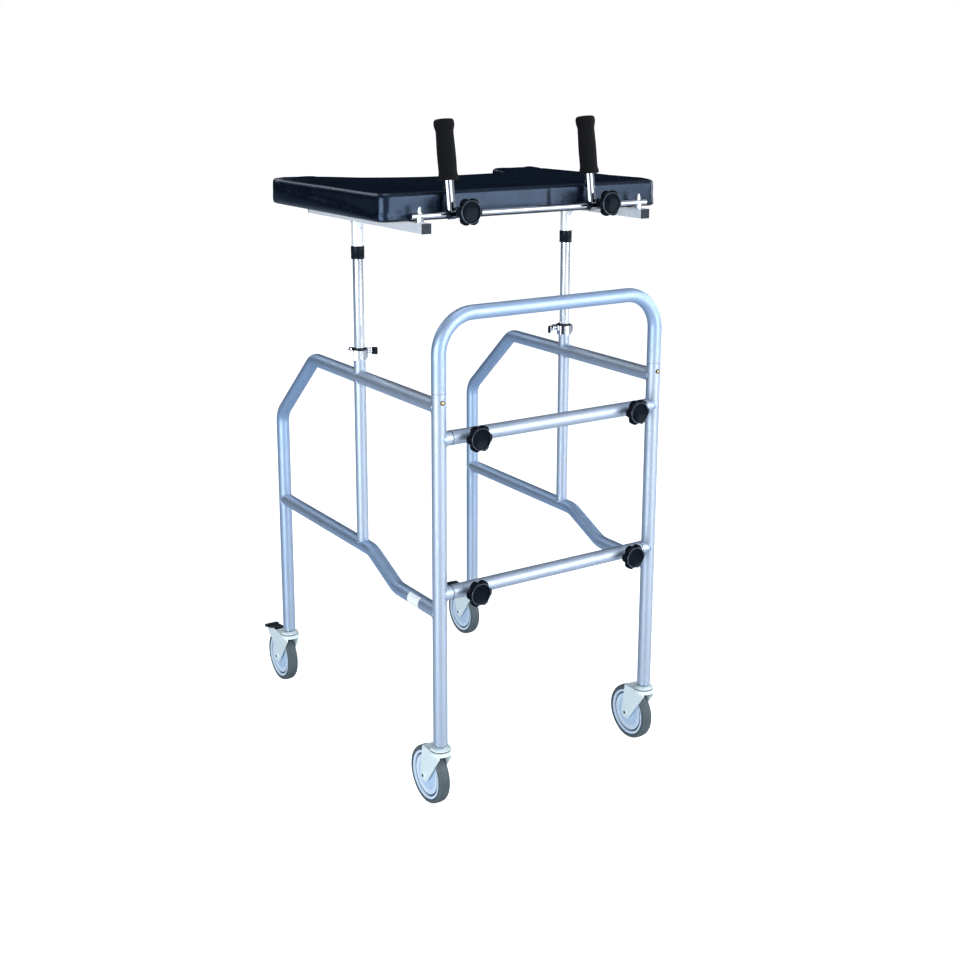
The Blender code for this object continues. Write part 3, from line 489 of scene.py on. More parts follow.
def hollow_tube(bm, corners, radius, bore, side, bend=0.0, cope=(0.0, 0.0), sides=44):
    """A tube bent in the plane across side, its ends cut to sit on tubes of the cope radii."""
    path = rounded_path(corners, bend)
    side = Vector(side)
    shells = []
    for r in (radius, bore):
        rings = []
        for number, (point, way) in enumerate(path):
            up = way.cross(side)
            seat = 0.0
            if number == 0:
                seat = cope[0]
            elif number == len(path) - 1:
                seat = -cope[1]
            points = []
            for a in full_turn(sides):
                lift = math.copysign(math.sqrt(max(seat ** 2 - (r * math.cos(a)) ** 2, 0.0)), seat)
                points.append(point + side * (r * math.cos(a)) + up * (r * math.sin(a)) + way * lift)
            rings.append(ring(bm, points))
        shells.append(rings)
    loop = shells[0] + shells[1][::-1]
    for a, b in zip(loop, loop[1:] + loop[:1]):
        bridge(bm, a, b)


def subtract(obj, tool_bm):
    """Cuts a solid out of an object."""
    bmesh.ops.recalc_face_normals(tool_bm, faces=tool_bm.faces)
    tool = new_object("cutter", new_mesh("cutter", tool_bm))
    modifier = obj.modifiers.new("cut", "BOOLEAN")
    modifier.operation = "DIFFERENCE"
    modifier.object = tool
    modifier.solver = "EXACT"
    freeze(obj)
    bpy.data.objects.remove(tool)


def drilled_length(name, node, ends, radius, bore, hole, hole_way, hole_radius):
    """A short length of frame tube with a hole in it, so that the long tubes keep plain faces."""
    bm = bmesh.new()
    hollow_tube(bm, ends, radius, bore, ACROSS)
    made = painted(name, bm)
    drill = bmesh.new()
    place = Matrix.Translation(hole) @ Vector(hole_way).to_track_quat("Z", "X").to_matrix().to_4x4()
    turned(drill, [(0.0, 0.0), (hole_radius, 0.0), (hole_radius, 0.05), (0.0, 0.05)], 28, place)
    subtract(made, drill)
    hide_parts(node)


def front_hoop():
    bm = bmesh.new()
    left = [(-TRACK, FRONT_Y, SEAM_Z + FIT_GAP), (-TRACK, FRONT_Y, HOOP_TOP)]
    right = [(-x, y, z) for x, y, z in left[::-1]]
    hollow_tube(bm, left + right, TUBE_R, TUBE_BORE, ALONG, HOOP_BEND)
    painted("front_hoop_tube", bm, ("front_hoop",))


def crossbar(level, z):
    """Outer tube of a crossbar, with the threaded boss of each star knob."""
    bm = bmesh.new()
    hollow_tube(bm, [(-CROSSBAR_END, FRONT_Y, z), (CROSSBAR_END, FRONT_Y, z)], TUBE_R, TUBE_BORE, ALONG)
    boss = [
        (0.0034, 0.0136), (0.0090, 0.0110), (0.0090, 0.0175), (0.0085, 0.0180), (0.0034, 0.0180),
    ]
    for s in SIDES.values():
        turned(bm, boss, 40, facing_forward(s * KNOB_X, FRONT_Y, z), True)
    painted(f"crossbar_{level}_tube", bm, (f"crossbar_{level}",))


def front_leg(side, s):
    """Leg with its crossbar stubs, and the drilled lengths that the lock button comes through."""
    x = s * TRACK
    heights = (LEG_BOTTOM, BUTTON_Z - 0.008, BUTTON_Z + 0.008, SEAM_Z)
    foot, low, high, top = [(x, FRONT_Y, z) for z in heights]
    bm = bmesh.new()
    hollow_tube(bm, [foot, low], TUBE_R, TUBE_BORE, ACROSS)
    hollow_tube(bm, [high, top], TUBE_R, TUBE_BORE, ACROSS)
    for z in CROSSBAR_Z.values():
        stub = [(x, FRONT_Y, z), (s * (CROSSBAR_END + FIT_GAP), FRONT_Y, z)]
        hollow_tube(bm, stub, STUB_R, 0.0135, ALONG, 0.0, (TUBE_R, 0.0))
        inside_bar = [(s * 0.25, FRONT_Y, z), (s * 0.161, FRONT_Y, z)]
        hollow_tube(bm, inside_bar, 0.0131, 0.0115, ALONG)
    node = f"front_leg_{side}"
    painted(f"{node}_tube", bm, (node,))
    button = ((x, FRONT_Y, BUTTON_Z), FORWARD, BUTTON_HOLE_R)
    drilled_length(f"{node}_window", node, [low, high], TUBE_R, TUBE_BORE, *button)
    spigot = [(x, FRONT_Y, SEAM_Z - 0.06), (x, FRONT_Y, SEAM_Z + 0.01)]
    drilled_length(f"hoop_spigot_{side}", "front_hoop", spigot, 0.013, 0.0115, *button)


def side_rail(side, x):
    """Top rail that bends down into the rear leg, drilled where its post passes."""
    ahead, behind = [(x, POST_Y + reach, RAIL_Z) for reach in (-0.016, 0.016)]
    bm = bmesh.new()
    hollow_tube(bm, [(x, FRONT_Y, RAIL_Z), ahead], TUBE_R, TUBE_BORE, ACROSS, 0.0, (TUBE_R, 0.0))
    bends = [behind, (x, RAIL_CORNER_Y, RAIL_Z), (x, REAR_Y, RAIL_KNEE_Z), (x, REAR_Y, LEG_BOTTOM)]
    hollow_tube(bm, bends, TUBE_R, TUBE_BORE, ACROSS, RAIL_BEND)
    node = f"side_rail_{side}"
    painted(f"{node}_tube", bm, (node,))
    below = (x, POST_Y, RAIL_Z - 0.025)
    drilled_length(f"{node}_window", node, [ahead, behind], TUBE_R, TUBE_BORE, below, UP, 0.0120)


def lower_rail(side, x):
    bends = [
        (x, FRONT_Y, LOWER_FRONT_Z),
        (x, DIP_FRONT_Y, LOWER_FRONT_Z),
        (x, DIP_REAR_Y, LOWER_REAR_Z),
        (x, REAR_Y, LOWER_REAR_Z),
    ]
    bm = bmesh.new()
    hollow_tube(bm, bends, TUBE_R, TUBE_BORE, ACROSS, DIP_BEND, (TUBE_R, TUBE_R))
    painted(f"lower_rail_{side}_tube", bm, (f"lower_rail_{side}",))


def centre_post(side, x):
    bm = bmesh.new()
    ends = [(x, POST_Y, LOWER_REAR_Z), (x, POST_Y, POST_TOP)]
    hollow_tube(bm, ends, POST_R, POST_BORE, ACROSS, 0.0, (TUBE_R, 0.0))
    painted(f"centre_post_{side}_tube", bm, (f"centre_post_{side}",))


def frame_tubes():
    """The painted tubes, round and smooth at the size of the CAD tubes that they stand for."""
    front_hoop()
    for level, z in CROSSBAR_Z.items():
        crossbar(level, z)
    for side, s in SIDES.items():
        front_leg(side, s)
        side_rail(side, s * TRACK)
        lower_rail(side, s * TRACK)
        centre_post(side, s * TRACK)


# ---------------------------------------------------------------- welds
def weld_line(centre, branch, main, branch_r, main_r, steps=56):
    """Where a branch tube meets a main tube: the curve that the weld follows."""
    branch = Vector(branch).normalized()
    main = Vector(main).normalized()
    side = main.cross(branch).normalized()
    points = []
    for a in full_turn(steps):
        across = branch_r * math.sin(a)
        along = branch_r * math.cos(a)
        lift = math.sqrt(max(main_r ** 2 - across ** 2, (0.15 * main_r) ** 2))
        points.append(Vector(centre) + branch * lift + side * across + main * along)
    return points


def crimps():
    """Pressed V above each seam, where the hoop's ends grip their spigots."""
    levels = [
        (0.9000, 0.0004, 0.0),
        (0.9055, 0.0030, 0.0003),
        (0.9110, 0.0054, 0.0004),
        (0.9118, 0.0056, 0.0),
    ]
    bm = bmesh.new()
    for s in SIDES.values():
        rows = []
        for height, half, lift in levels:
            rows.append([])
            for k in range(7):
                a = half / TUBE_R * (k - 3) / 3
                r = TUBE_R + (0.0001 + lift if k in (2, 3, 4) else 0.0001)
                point = (s * TRACK + r * math.sin(a), FRONT_Y - r * math.cos(a), height)
                rows[-1].append(bm.verts.new(point))
        for a, b in zip(rows, rows[1:]):
            for k in range(6):
                bm.faces.new((a[k], a[k + 1], b[k + 1], b[k]))
        border = rows[0] + [r[-1] for r in rows[1:]] + rows[-1][-2::-1] + [r[0] for r in rows[-2:0:-1]]
        middle = Vector((s * TRACK, FRONT_Y, 0))
        inner = [bm.verts.new(middle + (v.co - middle) * Vector((0.96, 0.96, 1))) for v in border]
        bridge(bm, border, inner)
        bm.faces.new(inner)
    painted("hoop_crimps", bm, (), 25.0)


def seams():
    """Dark gaps where tubes meet end to end, and a black ring round each lock button as painted shade in
    its hole.
    """
    hoop_seam = [(0.0146, 0.0), (0.01515, 0.0), (0.01515, 0.0006), (0.0146, 0.0006)]
    bar_seam = [(0.0140, 0.0), (0.01525, 0.0), (0.01525, 0.0012), (0.0140, 0.0012)]
    # Black ring round the button's hole: painted shade.
    button_hole_shade = [(BUTTON_HOLE_R, 0.0138), (0.0041, 0.0153), (0.0048, 0.0153), (0.0056, 0.0138)]
    for side, s in SIDES.items():
        bm = bmesh.new()
        turned(bm, hoop_seam, 36, Matrix.Translation((s * TRACK, FRONT_Y, SEAM_Z)), True)
        for z in CROSSBAR_Z.values():
            outward = Matrix.Rotation(math.radians(90 * s), 4, "Y")
            turned(bm, bar_seam, 36, Matrix.Translation((s * 0.2448, FRONT_Y, z)) @ outward, True)
        turned(bm, button_hole_shade, 28, facing_forward(s * TRACK, FRONT_Y, BUTTON_Z), True)
        piece(f"tube_seams_and_button_shade_{side}", bm, "frame", BLACK)


def welds():
    bm = bmesh.new()
    seed = 0.0
    for s in SIDES.values():
        x = s * TRACK
        joints = []
        for z in CROSSBAR_Z.values():
            joints.append(((x, FRONT_Y, z), (-s, 0, 0), UP, STUB_R))
        joints.append(((x, FRONT_Y, RAIL_Z), ALONG, UP, TUBE_R))
        joints.append(((x, FRONT_Y, LOWER_FRONT_Z), ALONG, UP, TUBE_R))
        joints.append(((x, REAR_Y, LOWER_REAR_Z), FORWARD, UP, TUBE_R))
        beside_post = POST_R + 0.0006
        joints.append(((x, POST_Y, LOWER_REAR_Z), UP, ALONG, beside_post))
        joints.append(((x, POST_Y, RAIL_Z), UP, ALONG, beside_post))
        joints.append(((x, POST_Y, RAIL_Z), (0, 0, -1), ALONG, beside_post))
        for centre, branch, main, branch_r in joints:
            seed += 1.3
            line = weld_line(centre, branch, main, branch_r, TUBE_R)
            tube_along(bm, line, 0.0018, 7, True, 0.16, seed)
    painted("frame_welds", bm, (), 40.0)


# ---------------------------------------------------------------- star knobs
def star_knob(name, origin, body, node):
    """Six-lobed knob with a dished cap, its raised rim in lighter grey as a painted highlight. It stands
    along -Y from its foot.
    """
    place = facing_forward(*origin)
    bm = bmesh.new()
    steps = 96

    def outline(radius, height, deep):
        points = []
        for a in full_turn(steps):
            notch = (0.5 - 0.5 * math.cos(6 * a)) ** 2.2
            r = radius - deep * notch
            points.append(place @ Vector((r * math.cos(a), r * math.sin(a), height)))
        return ring(bm, points)

    levels = [
        (0.0088, 0.0002, 0.0), (0.0090, 0.0060, 0.0), (0.0098, 0.0098, 0.0),
        (0.0140, 0.0110, 0.0002), (0.0225, 0.0113, 0.0022), (0.0262, 0.0119, 0.0045),
        (0.0274, 0.0133, 0.0052), (0.0279, 0.0160, 0.0053), (0.0280, 0.0210, 0.0053),
        (0.0277, 0.0236, 0.0052), (0.0266, 0.0251, 0.0046), (0.0246, 0.0257, 0.0026),
        (0.0230, 0.0258, 0.0002),
    ]
    rings = [outline(*level) for level in levels]
    for a, b in zip(rings, rings[1:]):
        bridge(bm, a, b)
    cap = [
        (0.0229, 0.0263), (0.0225, 0.0272), (0.0219, 0.0275), (0.0212, 0.0272), (0.0206, 0.0262),
        (0.0200, 0.0258), (0.0150, 0.0250), (0.0080, 0.0241), (0.0030, 0.0237), (0.0, 0.0236),
    ]
    last = rings[-1]
    # Cap rings 1 to 3, the raised rim, take the grey rim finish: a painted highlight.
    for number, (radius, height) in enumerate(cap):
        new = ring(bm, circle(place, radius, height, steps))
        bridge(bm, last, new, 3 if 1 <= number <= 3 else 1)
        last = new
    stud = [(0.0, -0.0028), (0.0029, -0.0028), (0.0029, 0.0003)]
    turned(bm, stud, 24, place, materials=[2, 2])
    bm.faces.new(rings[0])
    piece(name, bm, body, [GLOSS_BLACK, CAP_BLACK, ZINC, RIM_PAINTED_HIGHLIGHT], (node,), 46.0)


def knobs():
    for level, z in CROSSBAR_Z.items():
        for side, s in SIDES.items():
            node = f"star_knob_{level}_{side}"
            star_knob(f"{node}_moulded", (s * KNOB_X, FRONT_Y - 0.0183, z), node, node)
    for side, x in HANDLE_X.items():
        node = f"handle_knob_{side}"
        star_knob(f"{node}_moulded", (x + 0.0166, ROD_Y - 0.0203, ROD_Z + 0.006), node, node)


# ---------------------------------------------------------------- grips, columns and clamps
def grips():
    for side, x in HANDLE_X.items():
        place = Matrix.Translation((x, ROD_Y, ROD_Z)) @ Matrix.Rotation(-HANDLE_LEAN, 4, "X")
        start = 0.0655
        profile = [
            (0.0104, 0.0004), (0.0190, 0.0), (0.0203, 0.0008), (0.0208, 0.0030), (0.0206, 0.0060),
            (0.0196, 0.0092), (0.0187, 0.0125), (0.0184, 0.0180), (0.0187, 0.0330),
            (0.0188, 0.0480), (0.0185, 0.0640), (0.0180, 0.0800), (0.0176, 0.0920),
            (0.0179, 0.0960), (0.0191, 0.1000), (0.0201, 0.1040), (0.0205, 0.1085),
            (0.0203, 0.1125), (0.0192, 0.1158), (0.0168, 0.1177), (0.0110, 0.1184), (0.0, 0.1185),
        ]
        bm = bmesh.new()
        rings = turned(bm, [(r, start + z) for r, z in profile], 48, place)
        bridge(bm, ring(bm, circle(place, 0.0104, start + 0.006, 48)), rings[0])
        for v in bm.verts:
            rub = noise.noise(v.co * 55.0)
            centre = place.inverted() @ v.co
            if centre.xy.length > 0.0110:
                v.co += (place.to_3x3() @ Vector((centre.x, centre.y, 0)).normalized()) * (0.00022 * rub)
        node = f"handle_grip_{side}"
        piece(f"{node}_foam", bm, f"handle_{side}", FOAM, (node,), 60.0)


def columns():
    for side, s in SIDES.items():
        place = Matrix.Translation((s * TRACK, POST_Y, 0))
        bm = bmesh.new()
        tube = [
            (0.0092, 0.7000), (0.0107, 0.7000), (0.0110, 0.7004), (0.0110, 1.1878),
            (0.0107, 1.1880), (0.0092, 1.1880),
        ]
        turned(bm, tube, 40, place, True)
        node = f"tray_column_{side}"
        piece(f"{node}_chrome", bm, "tray", CHROME, (node,), 50.0)
        bm = bmesh.new()
        collar = [
            (0.0112, 1.1200), (0.0134, 1.1200), (0.0141, 1.1206), (0.01425, 1.1216),
            (0.01425, 1.1268), (0.0137, 1.1274), (0.0137, 1.1286), (0.01425, 1.1292),
            (0.01425, 1.1452), (0.0140, 1.1464), (0.0133, 1.1470), (0.0112, 1.1470),
        ]
        turned(bm, collar, 40, place, True)
        piece(f"tray_collar_{side}", bm, "tray", BLACK, (node,), 50.0)


def clamp_bushes():
    """Plastic bush between post and column: its lip shows on top, and its wall in the clamp's slot."""
    lip = [
        (0.0113, 0.9252), (0.0113, 0.9274), (0.0119, 0.9280), (0.0150, 0.9280), (0.0158, 0.9272),
        (0.0158, 0.9252),
    ]
    wall_section = [
        (0.0124, -0.0034), (0.0133, -0.0034), (0.0137, 0.0), (0.0133, 0.0034), (0.0124, 0.0034),
    ]
    for side, s in SIDES.items():
        centre = Vector((s * TRACK, POST_Y, 0))
        bm = bmesh.new()
        turned(bm, lip, 40, Matrix.Translation(centre), True)
        piece(f"post_bush_{side}", bm, "frame", BLACK, (), 50.0)
        out = Vector((s * math.cos(math.radians(40)), math.sin(math.radians(40)), 0))
        across = Vector((-out.y, out.x, 0))
        bm = bmesh.new()
        wall = [centre - out * r + across * w for r, w in wall_section]
        low = ring(bm, [p + Vector((0, 0, 0.9050)) for p in wall])
        high = ring(bm, [p + Vector((0, 0, 0.9247)) for p in wall])
        bridge(bm, low, high)
        bm.faces.new(low)
        bm.faces.new(high)
        piece(f"post_bush_wall_{side}", bm, "frame", BLACK, (), 50.0)


# ---------------------------------------------------------------- castors
def wheels():
    around = Matrix.Rotation(math.radians(90), 4, "Y")
    tread = [
        (0.0500, -0.0098), (0.0531, -0.0110), (0.0536, -0.0121), (0.0552, -0.0125),
        (0.0580, -0.0124), (0.0600, -0.0116), (0.0612, -0.0098), (0.0617, -0.0085),
        (0.0612, -0.0080), (0.0618, -0.0075), (0.0623, -0.0050), (0.0625, -0.0015),
    ]
    tread = tread + [(r, -x) for r, x in reversed(tread)]
    # The third value picks the finish: 0 wheel grey, 1 the ring, 2 painted shade in the groove and under
    # the tyre's bead.
    half = [
        (0.0045, 0.0134, 0), (0.0098, 0.0134, 0), (0.0106, 0.0128, 0), (0.0112, 0.0098, 0),
        (0.0120, 0.0088, 0), (0.0200, 0.0080, 0), (0.0330, 0.0084, 0), (0.0425, 0.0096, 1),
        (0.0437, 0.0100, 2), (0.0443, 0.0096, 2), (0.0447, 0.0078, 2), (0.0457, 0.0076, 2),
        (0.0463, 0.0084, 2), (0.0467, 0.0108, 1), (0.0474, 0.0116, 1), (0.0518, 0.0119, 1),
        (0.0527, 0.0116, 2), (0.0530, 0.0109, 2), (0.0499, 0.0098, 2),
    ]
    profile = [(r, x) for r, x, _ in half] + [(r, -x) for r, x, _ in reversed(half)]
    marks = [m for _, _, m in half] + [m for _, _, m in reversed(half)]
    for end, y in CASTOR_ENDS.items():
        for side, s in SIDES.items():
            body = f"castor_wheel_{end}_{side}"
            hub = Matrix.Translation((s * TRACK, y + WHEEL_TRAIL, WHEEL_R)) @ around
            bm = bmesh.new()
            turned(bm, tread, 72, hub, True)
            node = f"castor_tyre_{end}_{side}"
            piece(f"{node}_rubber", bm, body, RUBBER, (node,), 50.0)
            bm = bmesh.new()
            turned(bm, profile, 64, hub, True, marks)
            colours = [WHEEL, WHEEL_RING, WHEEL_SHADE]
            piece(f"{body}_moulded", bm, body, colours, (body,), 35.0)


def castor_heads():
    """Stem, serrated nut and bearing dish of each castor, with black painted shade in the gap under its
    rim.
    """
    # The third value picks the finish: 1 is black, painted shade in the gap under the dish's rim.
    dish = [
        (0.0130, 0.1418, 0), (0.0160, 0.1414, 0), (0.0185, 0.1406, 0), (0.0212, 0.1397, 0),
        (0.0221, 0.1391, 0), (0.0222, 0.1385, 0), (0.0214, 0.1382, 1), (0.0202, 0.1380, 1),
        (0.0202, 0.1363, 1), (0.0214, 0.1361, 0), (0.0222, 0.1359, 0), (0.0222, 0.1353, 0),
        (0.0210, 0.1350, 0), (0.0060, 0.1350, 0), (0.0060, 0.1268, 0), (0.0090, 0.1266, 0),
        (0.0088, 0.1250, 0), (0.0080, 0.1236, 0), (0.0, 0.1230, 0),
    ]
    stem = [(0.0, 0.1900), (0.0118, 0.1900), (0.0130, 0.1880), (0.0130, 0.1482), (0.0124, 0.1479)]
    steps = 72
    for end, y in CASTOR_ENDS.items():
        for side, s in SIDES.items():
            place = Matrix.Translation((s * TRACK, y, 0))
            bm = bmesh.new()

            def serrated(radius, depth, height):
                points = []
                for k, a in enumerate(full_turn(steps)):
                    r = radius - (depth if k % 6 in (0, 1, 2) else 0.0)
                    points.append(place @ Vector((r * math.cos(a), r * math.sin(a), height)))
                return ring(bm, points)

            rings = turned(bm, stem, steps, place, materials=[2] * len(stem))
            teeth = [(0.0124, 0.0, 0.1478), (0.0134, 0.0010, 0.1474), (0.0138, 0.0013, 0.1462)]
            teeth += [(0.0138, 0.0013, 0.1436), (0.0134, 0.0010, 0.1426), (0.0126, 0.0, 0.1422)]
            last = rings[-1]
            for level in teeth:
                new = serrated(*level)
                bridge(bm, last, new, 2)
                last = new
            below = turned(bm, [(r, z) for r, z, _ in dish], steps, place, False, [m for _, _, m in dish])
            bridge(bm, last, below[0])
            node = f"castor_head_{end}_{side}"
            piece(f"{node}_plated", bm, "frame", [ZINC, BLACK, NUT_ZINC], (node,), 32.0)


def axle_socket_shades():
    """Black hexagons on the ends of the axles: painted shade for their sockets."""
    socket = [(0.0, -0.0006), (0.0036, -0.0006), (0.0036, 0.0003), (0.0030, 0.0004), (0.0, 0.0001)]
    for end, y in CASTOR_ENDS.items():
        for side, s in SIDES.items():
            bm = bmesh.new()
            for way in (-1, 1):
                middle = Vector((s * TRACK + way * 0.0195, y + WHEEL_TRAIL, WHEEL_R))
                turn = Matrix.Rotation(math.radians(90 * way), 4, "Y")
                turned(bm, socket, 6, Matrix.Translation(middle) @ turn)
            fork = f"castor_fork_{end}_{side}"
            piece(f"axle_socket_shades_{end}_{side}", bm, fork, BLACK, (), 30.0)


def lever_caps():
    """Black cap on the tip of each clamp lever."""
    for side, s in SIDES.items():
        ahead = Vector((s * math.sin(math.radians(40)), -math.cos(math.radians(40)), 0))
        out = Vector((s * math.cos(math.radians(40)), math.sin(math.radians(40)), 0))
        post = Vector((s * TRACK, POST_Y, 0.9180))
        pivot = out * 0.0205 - ahead * 0.0150
        tip = Vector((-s * 0.044, 0.004, 0)) - pivot
        along = tip.normalized()
        away = Vector((along.y * s, -along.x * s, 0))
        away = away if away.dot(pivot) > 0 else -away
        bow = [0.0075 * math.sin(math.pi * t) - 0.0035 * t for t in (0.84, 1.0)]
        start = pivot + tip * 0.84 + away * bow[0]
        finish = pivot + tip * 1.0 + away * bow[1]
        along = (finish - start).normalized()
        away = Vector((-along.y, along.x, 0))
        place = Matrix((along, away, Vector((0, 0, 1)))).transposed().to_4x4()
        place.translation = post + (start + finish) / 2
        bm = bmesh.new()
        bmesh.ops.create_cube(bm, size=1.0)
        for v in bm.verts:
            v.co = Vector((v.co.x * 0.0125, v.co.y * 0.0062, v.co.z * 0.0158))
        bmesh.ops.bevel(bm, geom=bm.edges[:], offset=0.0024, segments=4, profile=0.6, affect="EDGES")
        bmesh.ops.transform(bm, matrix=place, verts=bm.verts)
        piece(f"lever_cap_{side}", bm, f"clamp_lever_{side}", BLACK, (), 60.0)


# ---------------------------------------------------------------- pad
def arc(centre, radius, start, end, steps):
    angles = [math.radians(start + (end - start) * k / steps) for k in range(steps + 1)]
    return [(centre[0] + radius * math.cos(a), centre[1] + radius * math.sin(a)) for a in angles]


def pad_outline(inset, fine=2):
    """Outline of the pad: square front corners, body cut-out at the back."""
    half = 0.348 - inset
    front = PAD_FRONT + inset
    back = PAD_BACK - inset
    corner = 0.025 - inset * 0.7
    lip = 0.020
    opening = 0.235 + inset
    depth = 0.190
    right = []
    right += arc((half - corner, front + corner), corner, -90, 0, 4 * fine)
    right += arc((half - corner, back - corner), corner, 0, 90, 4 * fine)
    right += arc((opening + lip, back - lip), lip, 90, 180, 3 * fine)
    steps = 14 * fine
    for k in range(1, steps + 1):
        t = math.pi / 2 * k / steps
        x = opening * math.cos(t) ** 0.8
        y = back - lip - (depth - lip) * math.sin(t) ** 0.8
        right.append((x, y))
    left = [(-x, y) for x, y in reversed(right[:-1])]
    return right + left


SEAM_X = 0.058


def forearm_pad():
    """Foam pad in leathercloth: swollen by a cloth simulation, then sewn and creased."""
    bm = bmesh.new()
    shrink = 0.0016
    top = PAD_TOP - 0.0030
    layers = [(0.0075, PAD_LOW), (shrink + 0.0015, PAD_LOW + 0.0012), (shrink, PAD_LOW + 0.0050)]
    layers.append((shrink, top - 0.0080))
    for k in range(1, 5):
        a = math.pi / 2 * k / 4
        layers.append((shrink + 0.0080 * (1 - math.cos(a)), top - 0.0080 * (1 - math.sin(a))))
    rings = [ring(bm, [Vector((x, y, z)) for x, y in pad_outline(inset)]) for inset, z in layers]
    for a, b in zip(rings, rings[1:]):
        bridge(bm, a, b)
    bm.faces.new(rings[0])
    bm.faces.new(rings[-1])
    bmesh.ops.recalc_face_normals(bm, faces=bm.faces)
    pad = new_object("forearm_pad", new_mesh("forearm_pad", bm))
    remesh = pad.modifiers.new("remesh", "REMESH")
    remesh.mode = "VOXEL"
    remesh.voxel_size = 0.0055
    remesh.use_smooth_shade = True
    freeze(pad)
    rest = [v.co.copy() for v in pad.data.vertices]
    swell(pad)
    cap_swelling(pad, rest)
    sew(pad)
    subdivision = pad.modifiers.new("smooth", "SUBSURF")
    subdivision.levels = subdivision.render_levels = 1
    freeze(pad)
    hollow_for_board(pad)
    pad.data.materials.clear()
    pad.data.materials.append(VINYL)
    pad.data.shade_smooth()
    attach(pad, "tray")
    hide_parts("arm_pad")


def freeze(obj):
    """Applies the object's modifiers."""
    bpy.context.view_layer.update()
    evaluated = obj.evaluated_get(bpy.context.evaluated_depsgraph_get())
    mesh = bpy.data.meshes.new_from_object(evaluated)
    obj.modifiers.clear()
    obj.data = mesh


def swell(obj):
    """Foam pressure against the cover, held where it is fixed to the board."""
    fixed = obj.vertex_groups.new(name="fixed")
    low = [v.index for v in obj.data.vertices if v.co.z < PAD_LOW + 0.004]
    fixed.add(low, 1.0, "REPLACE")
    cloth = obj.modifiers.new("cloth", "CLOTH")
    settings = cloth.settings
    settings.quality = 5
    settings.mass = 0.4
    settings.tension_stiffness = 40
    settings.compression_stiffness = 20
    settings.shear_stiffness = 10
    settings.bending_stiffness = 4
    settings.use_pressure = True
    settings.uniform_pressure_force = 4.0
    settings.vertex_group_mass = "fixed"
    settings.effector_weights.gravity = 0
    cloth.collision_settings.use_self_collision = False
    scene = bpy.context.scene
    scene.frame_start = 1
    scene.frame_end = 20
    for number in range(1, 21):
        scene.frame_set(number)
    freeze(obj)
    scene.frame_set(1)


def cap_swelling(obj, rest):
    """Keeps each point within a few millimetres of the foam's own shape."""
    reach = 0.0028
    for v, home in zip(obj.data.vertices, rest):
        if not all(math.isfinite(c) for c in v.co):
            v.co = home
        move = v.co - home
        if move.length > reach:
            v.co = home + move.normalized() * reach
        v.co.z = max(v.co.z, PAD_LOW)


def sew(obj):
    """Crowned top, soft dents, and the seam pulled in down the middle of the front."""
    for v in obj.data.vertices:
        x, y, z = v.co
        up = (z - PAD_LOW) / 0.06
        if up > 0.9:
            inner = min(0.348 - abs(x), y - PAD_FRONT, PAD_BACK - y)
            crown = min(max(inner, 0.0) / 0.09, 1.0)
            v.co.z += 0.0016 * math.sin(crown * math.pi / 2) - 0.0010
            v.co.z += 0.0007 * noise.noise(Vector((x * 9, y * 9, 0.0)))
        if y < PAD_FRONT + 0.020:
            pull = math.exp(-(((x - SEAM_X) / 0.0035) ** 2)) * min(up * 6, 1.0)
            v.co.y += 0.0016 * pull
            v.co.y += 0.0009 * noise.noise(Vector((x * 16, z * 22, 3.0)))
        corner = Vector((0.348 - abs(x), y - PAD_FRONT)).length
        if corner < 0.06:
            v.co += Vector((0, 0, 0.0008 * noise.noise(Vector((x * 60, y * 60, z * 30)))))


def hollow_for_board(obj):
    """Lifts the underside inside its rim, where the board lies."""
    rim = 0.0078
    low = PAD_LOW + 0.0093
    tools = bmesh.new()
    outline = pad_outline(rim, 2)
    bottom = ring(tools, [Vector((x, y, PAD_LOW - 0.01)) for x, y in outline])
    upper = ring(tools, [Vector((x, y, low)) for x, y in outline])
    bridge(tools, bottom, upper)
    tools.faces.new(bottom)
    tools.faces.new(upper)
    subtract(obj, tools)


def stitches():
    """Two rows of thread beside the front seam."""
    bm = bmesh.new()
    for offset in (-0.0042, 0.0042):
        z = PAD_LOW + 0.006
        while z < PAD_TOP - 0.017:
            x = SEAM_X + offset
            y = PAD_FRONT + 0.0003
            points = []
            for k in range(6):
                t = k / 5
                arch = 0.0005 * math.sin(math.pi * t)
                points.append(Vector((x + 0.0002 * math.sin(z * 900), y - arch, z + 0.0030 * t)))
            tube_along(bm, points, 0.00038, 6)
            z += 0.0041
    piece("pad_stitches", bm, "tray", THREAD, (), 60.0)


def small_label():
    """Blank paper label on the left lower rail."""
    axis = Vector((-TRACK, 0, LOWER_FRONT_Z))
    paper = 0.00015
    steps = 8

    def rows(radius):
        made = []
        for k in range(steps + 1):
            a = math.radians(120 + 90 * k / steps)
            out = Vector((math.cos(a), 0, math.sin(a))) * radius
            made.append(ring(bm, [axis + out + Vector((0, FRONT_Y + y, 0)) for y in (0.062, 0.106)]))
        return made

    bm = bmesh.new()
    grid = rows(TUBE_R + paper)
    outer = rows(TUBE_R + 2 * paper)
    for sheet in (grid, outer):
        for i in range(steps):
            bm.faces.new((sheet[i][0], sheet[i][1], sheet[i + 1][1], sheet[i + 1][0]))
    for i in range(steps):
        for j in (0, 1):
            bm.faces.new((grid[i][j], grid[i + 1][j], outer[i + 1][j], outer[i][j]))
    for i in (0, steps):
        bm.faces.new((grid[i][0], grid[i][1], outer[i][1], outer[i][0]))
    f = Finish("label_paper", 0.55, 0.0)
    f.tint(f.noise(240.0, 4.0), (0.98, 0.99, 1.0), (0.90, 0.93, 0.96))
    f.rough(f.noise(300.0, 3.0), 0.3, 0.7, 0.45, 0.6)
    f.bump(f.noise(900.0, 3.0), 0.15, 0.0002)
    piece("rail_label", bm, "frame", f.done(), (), 60.0)


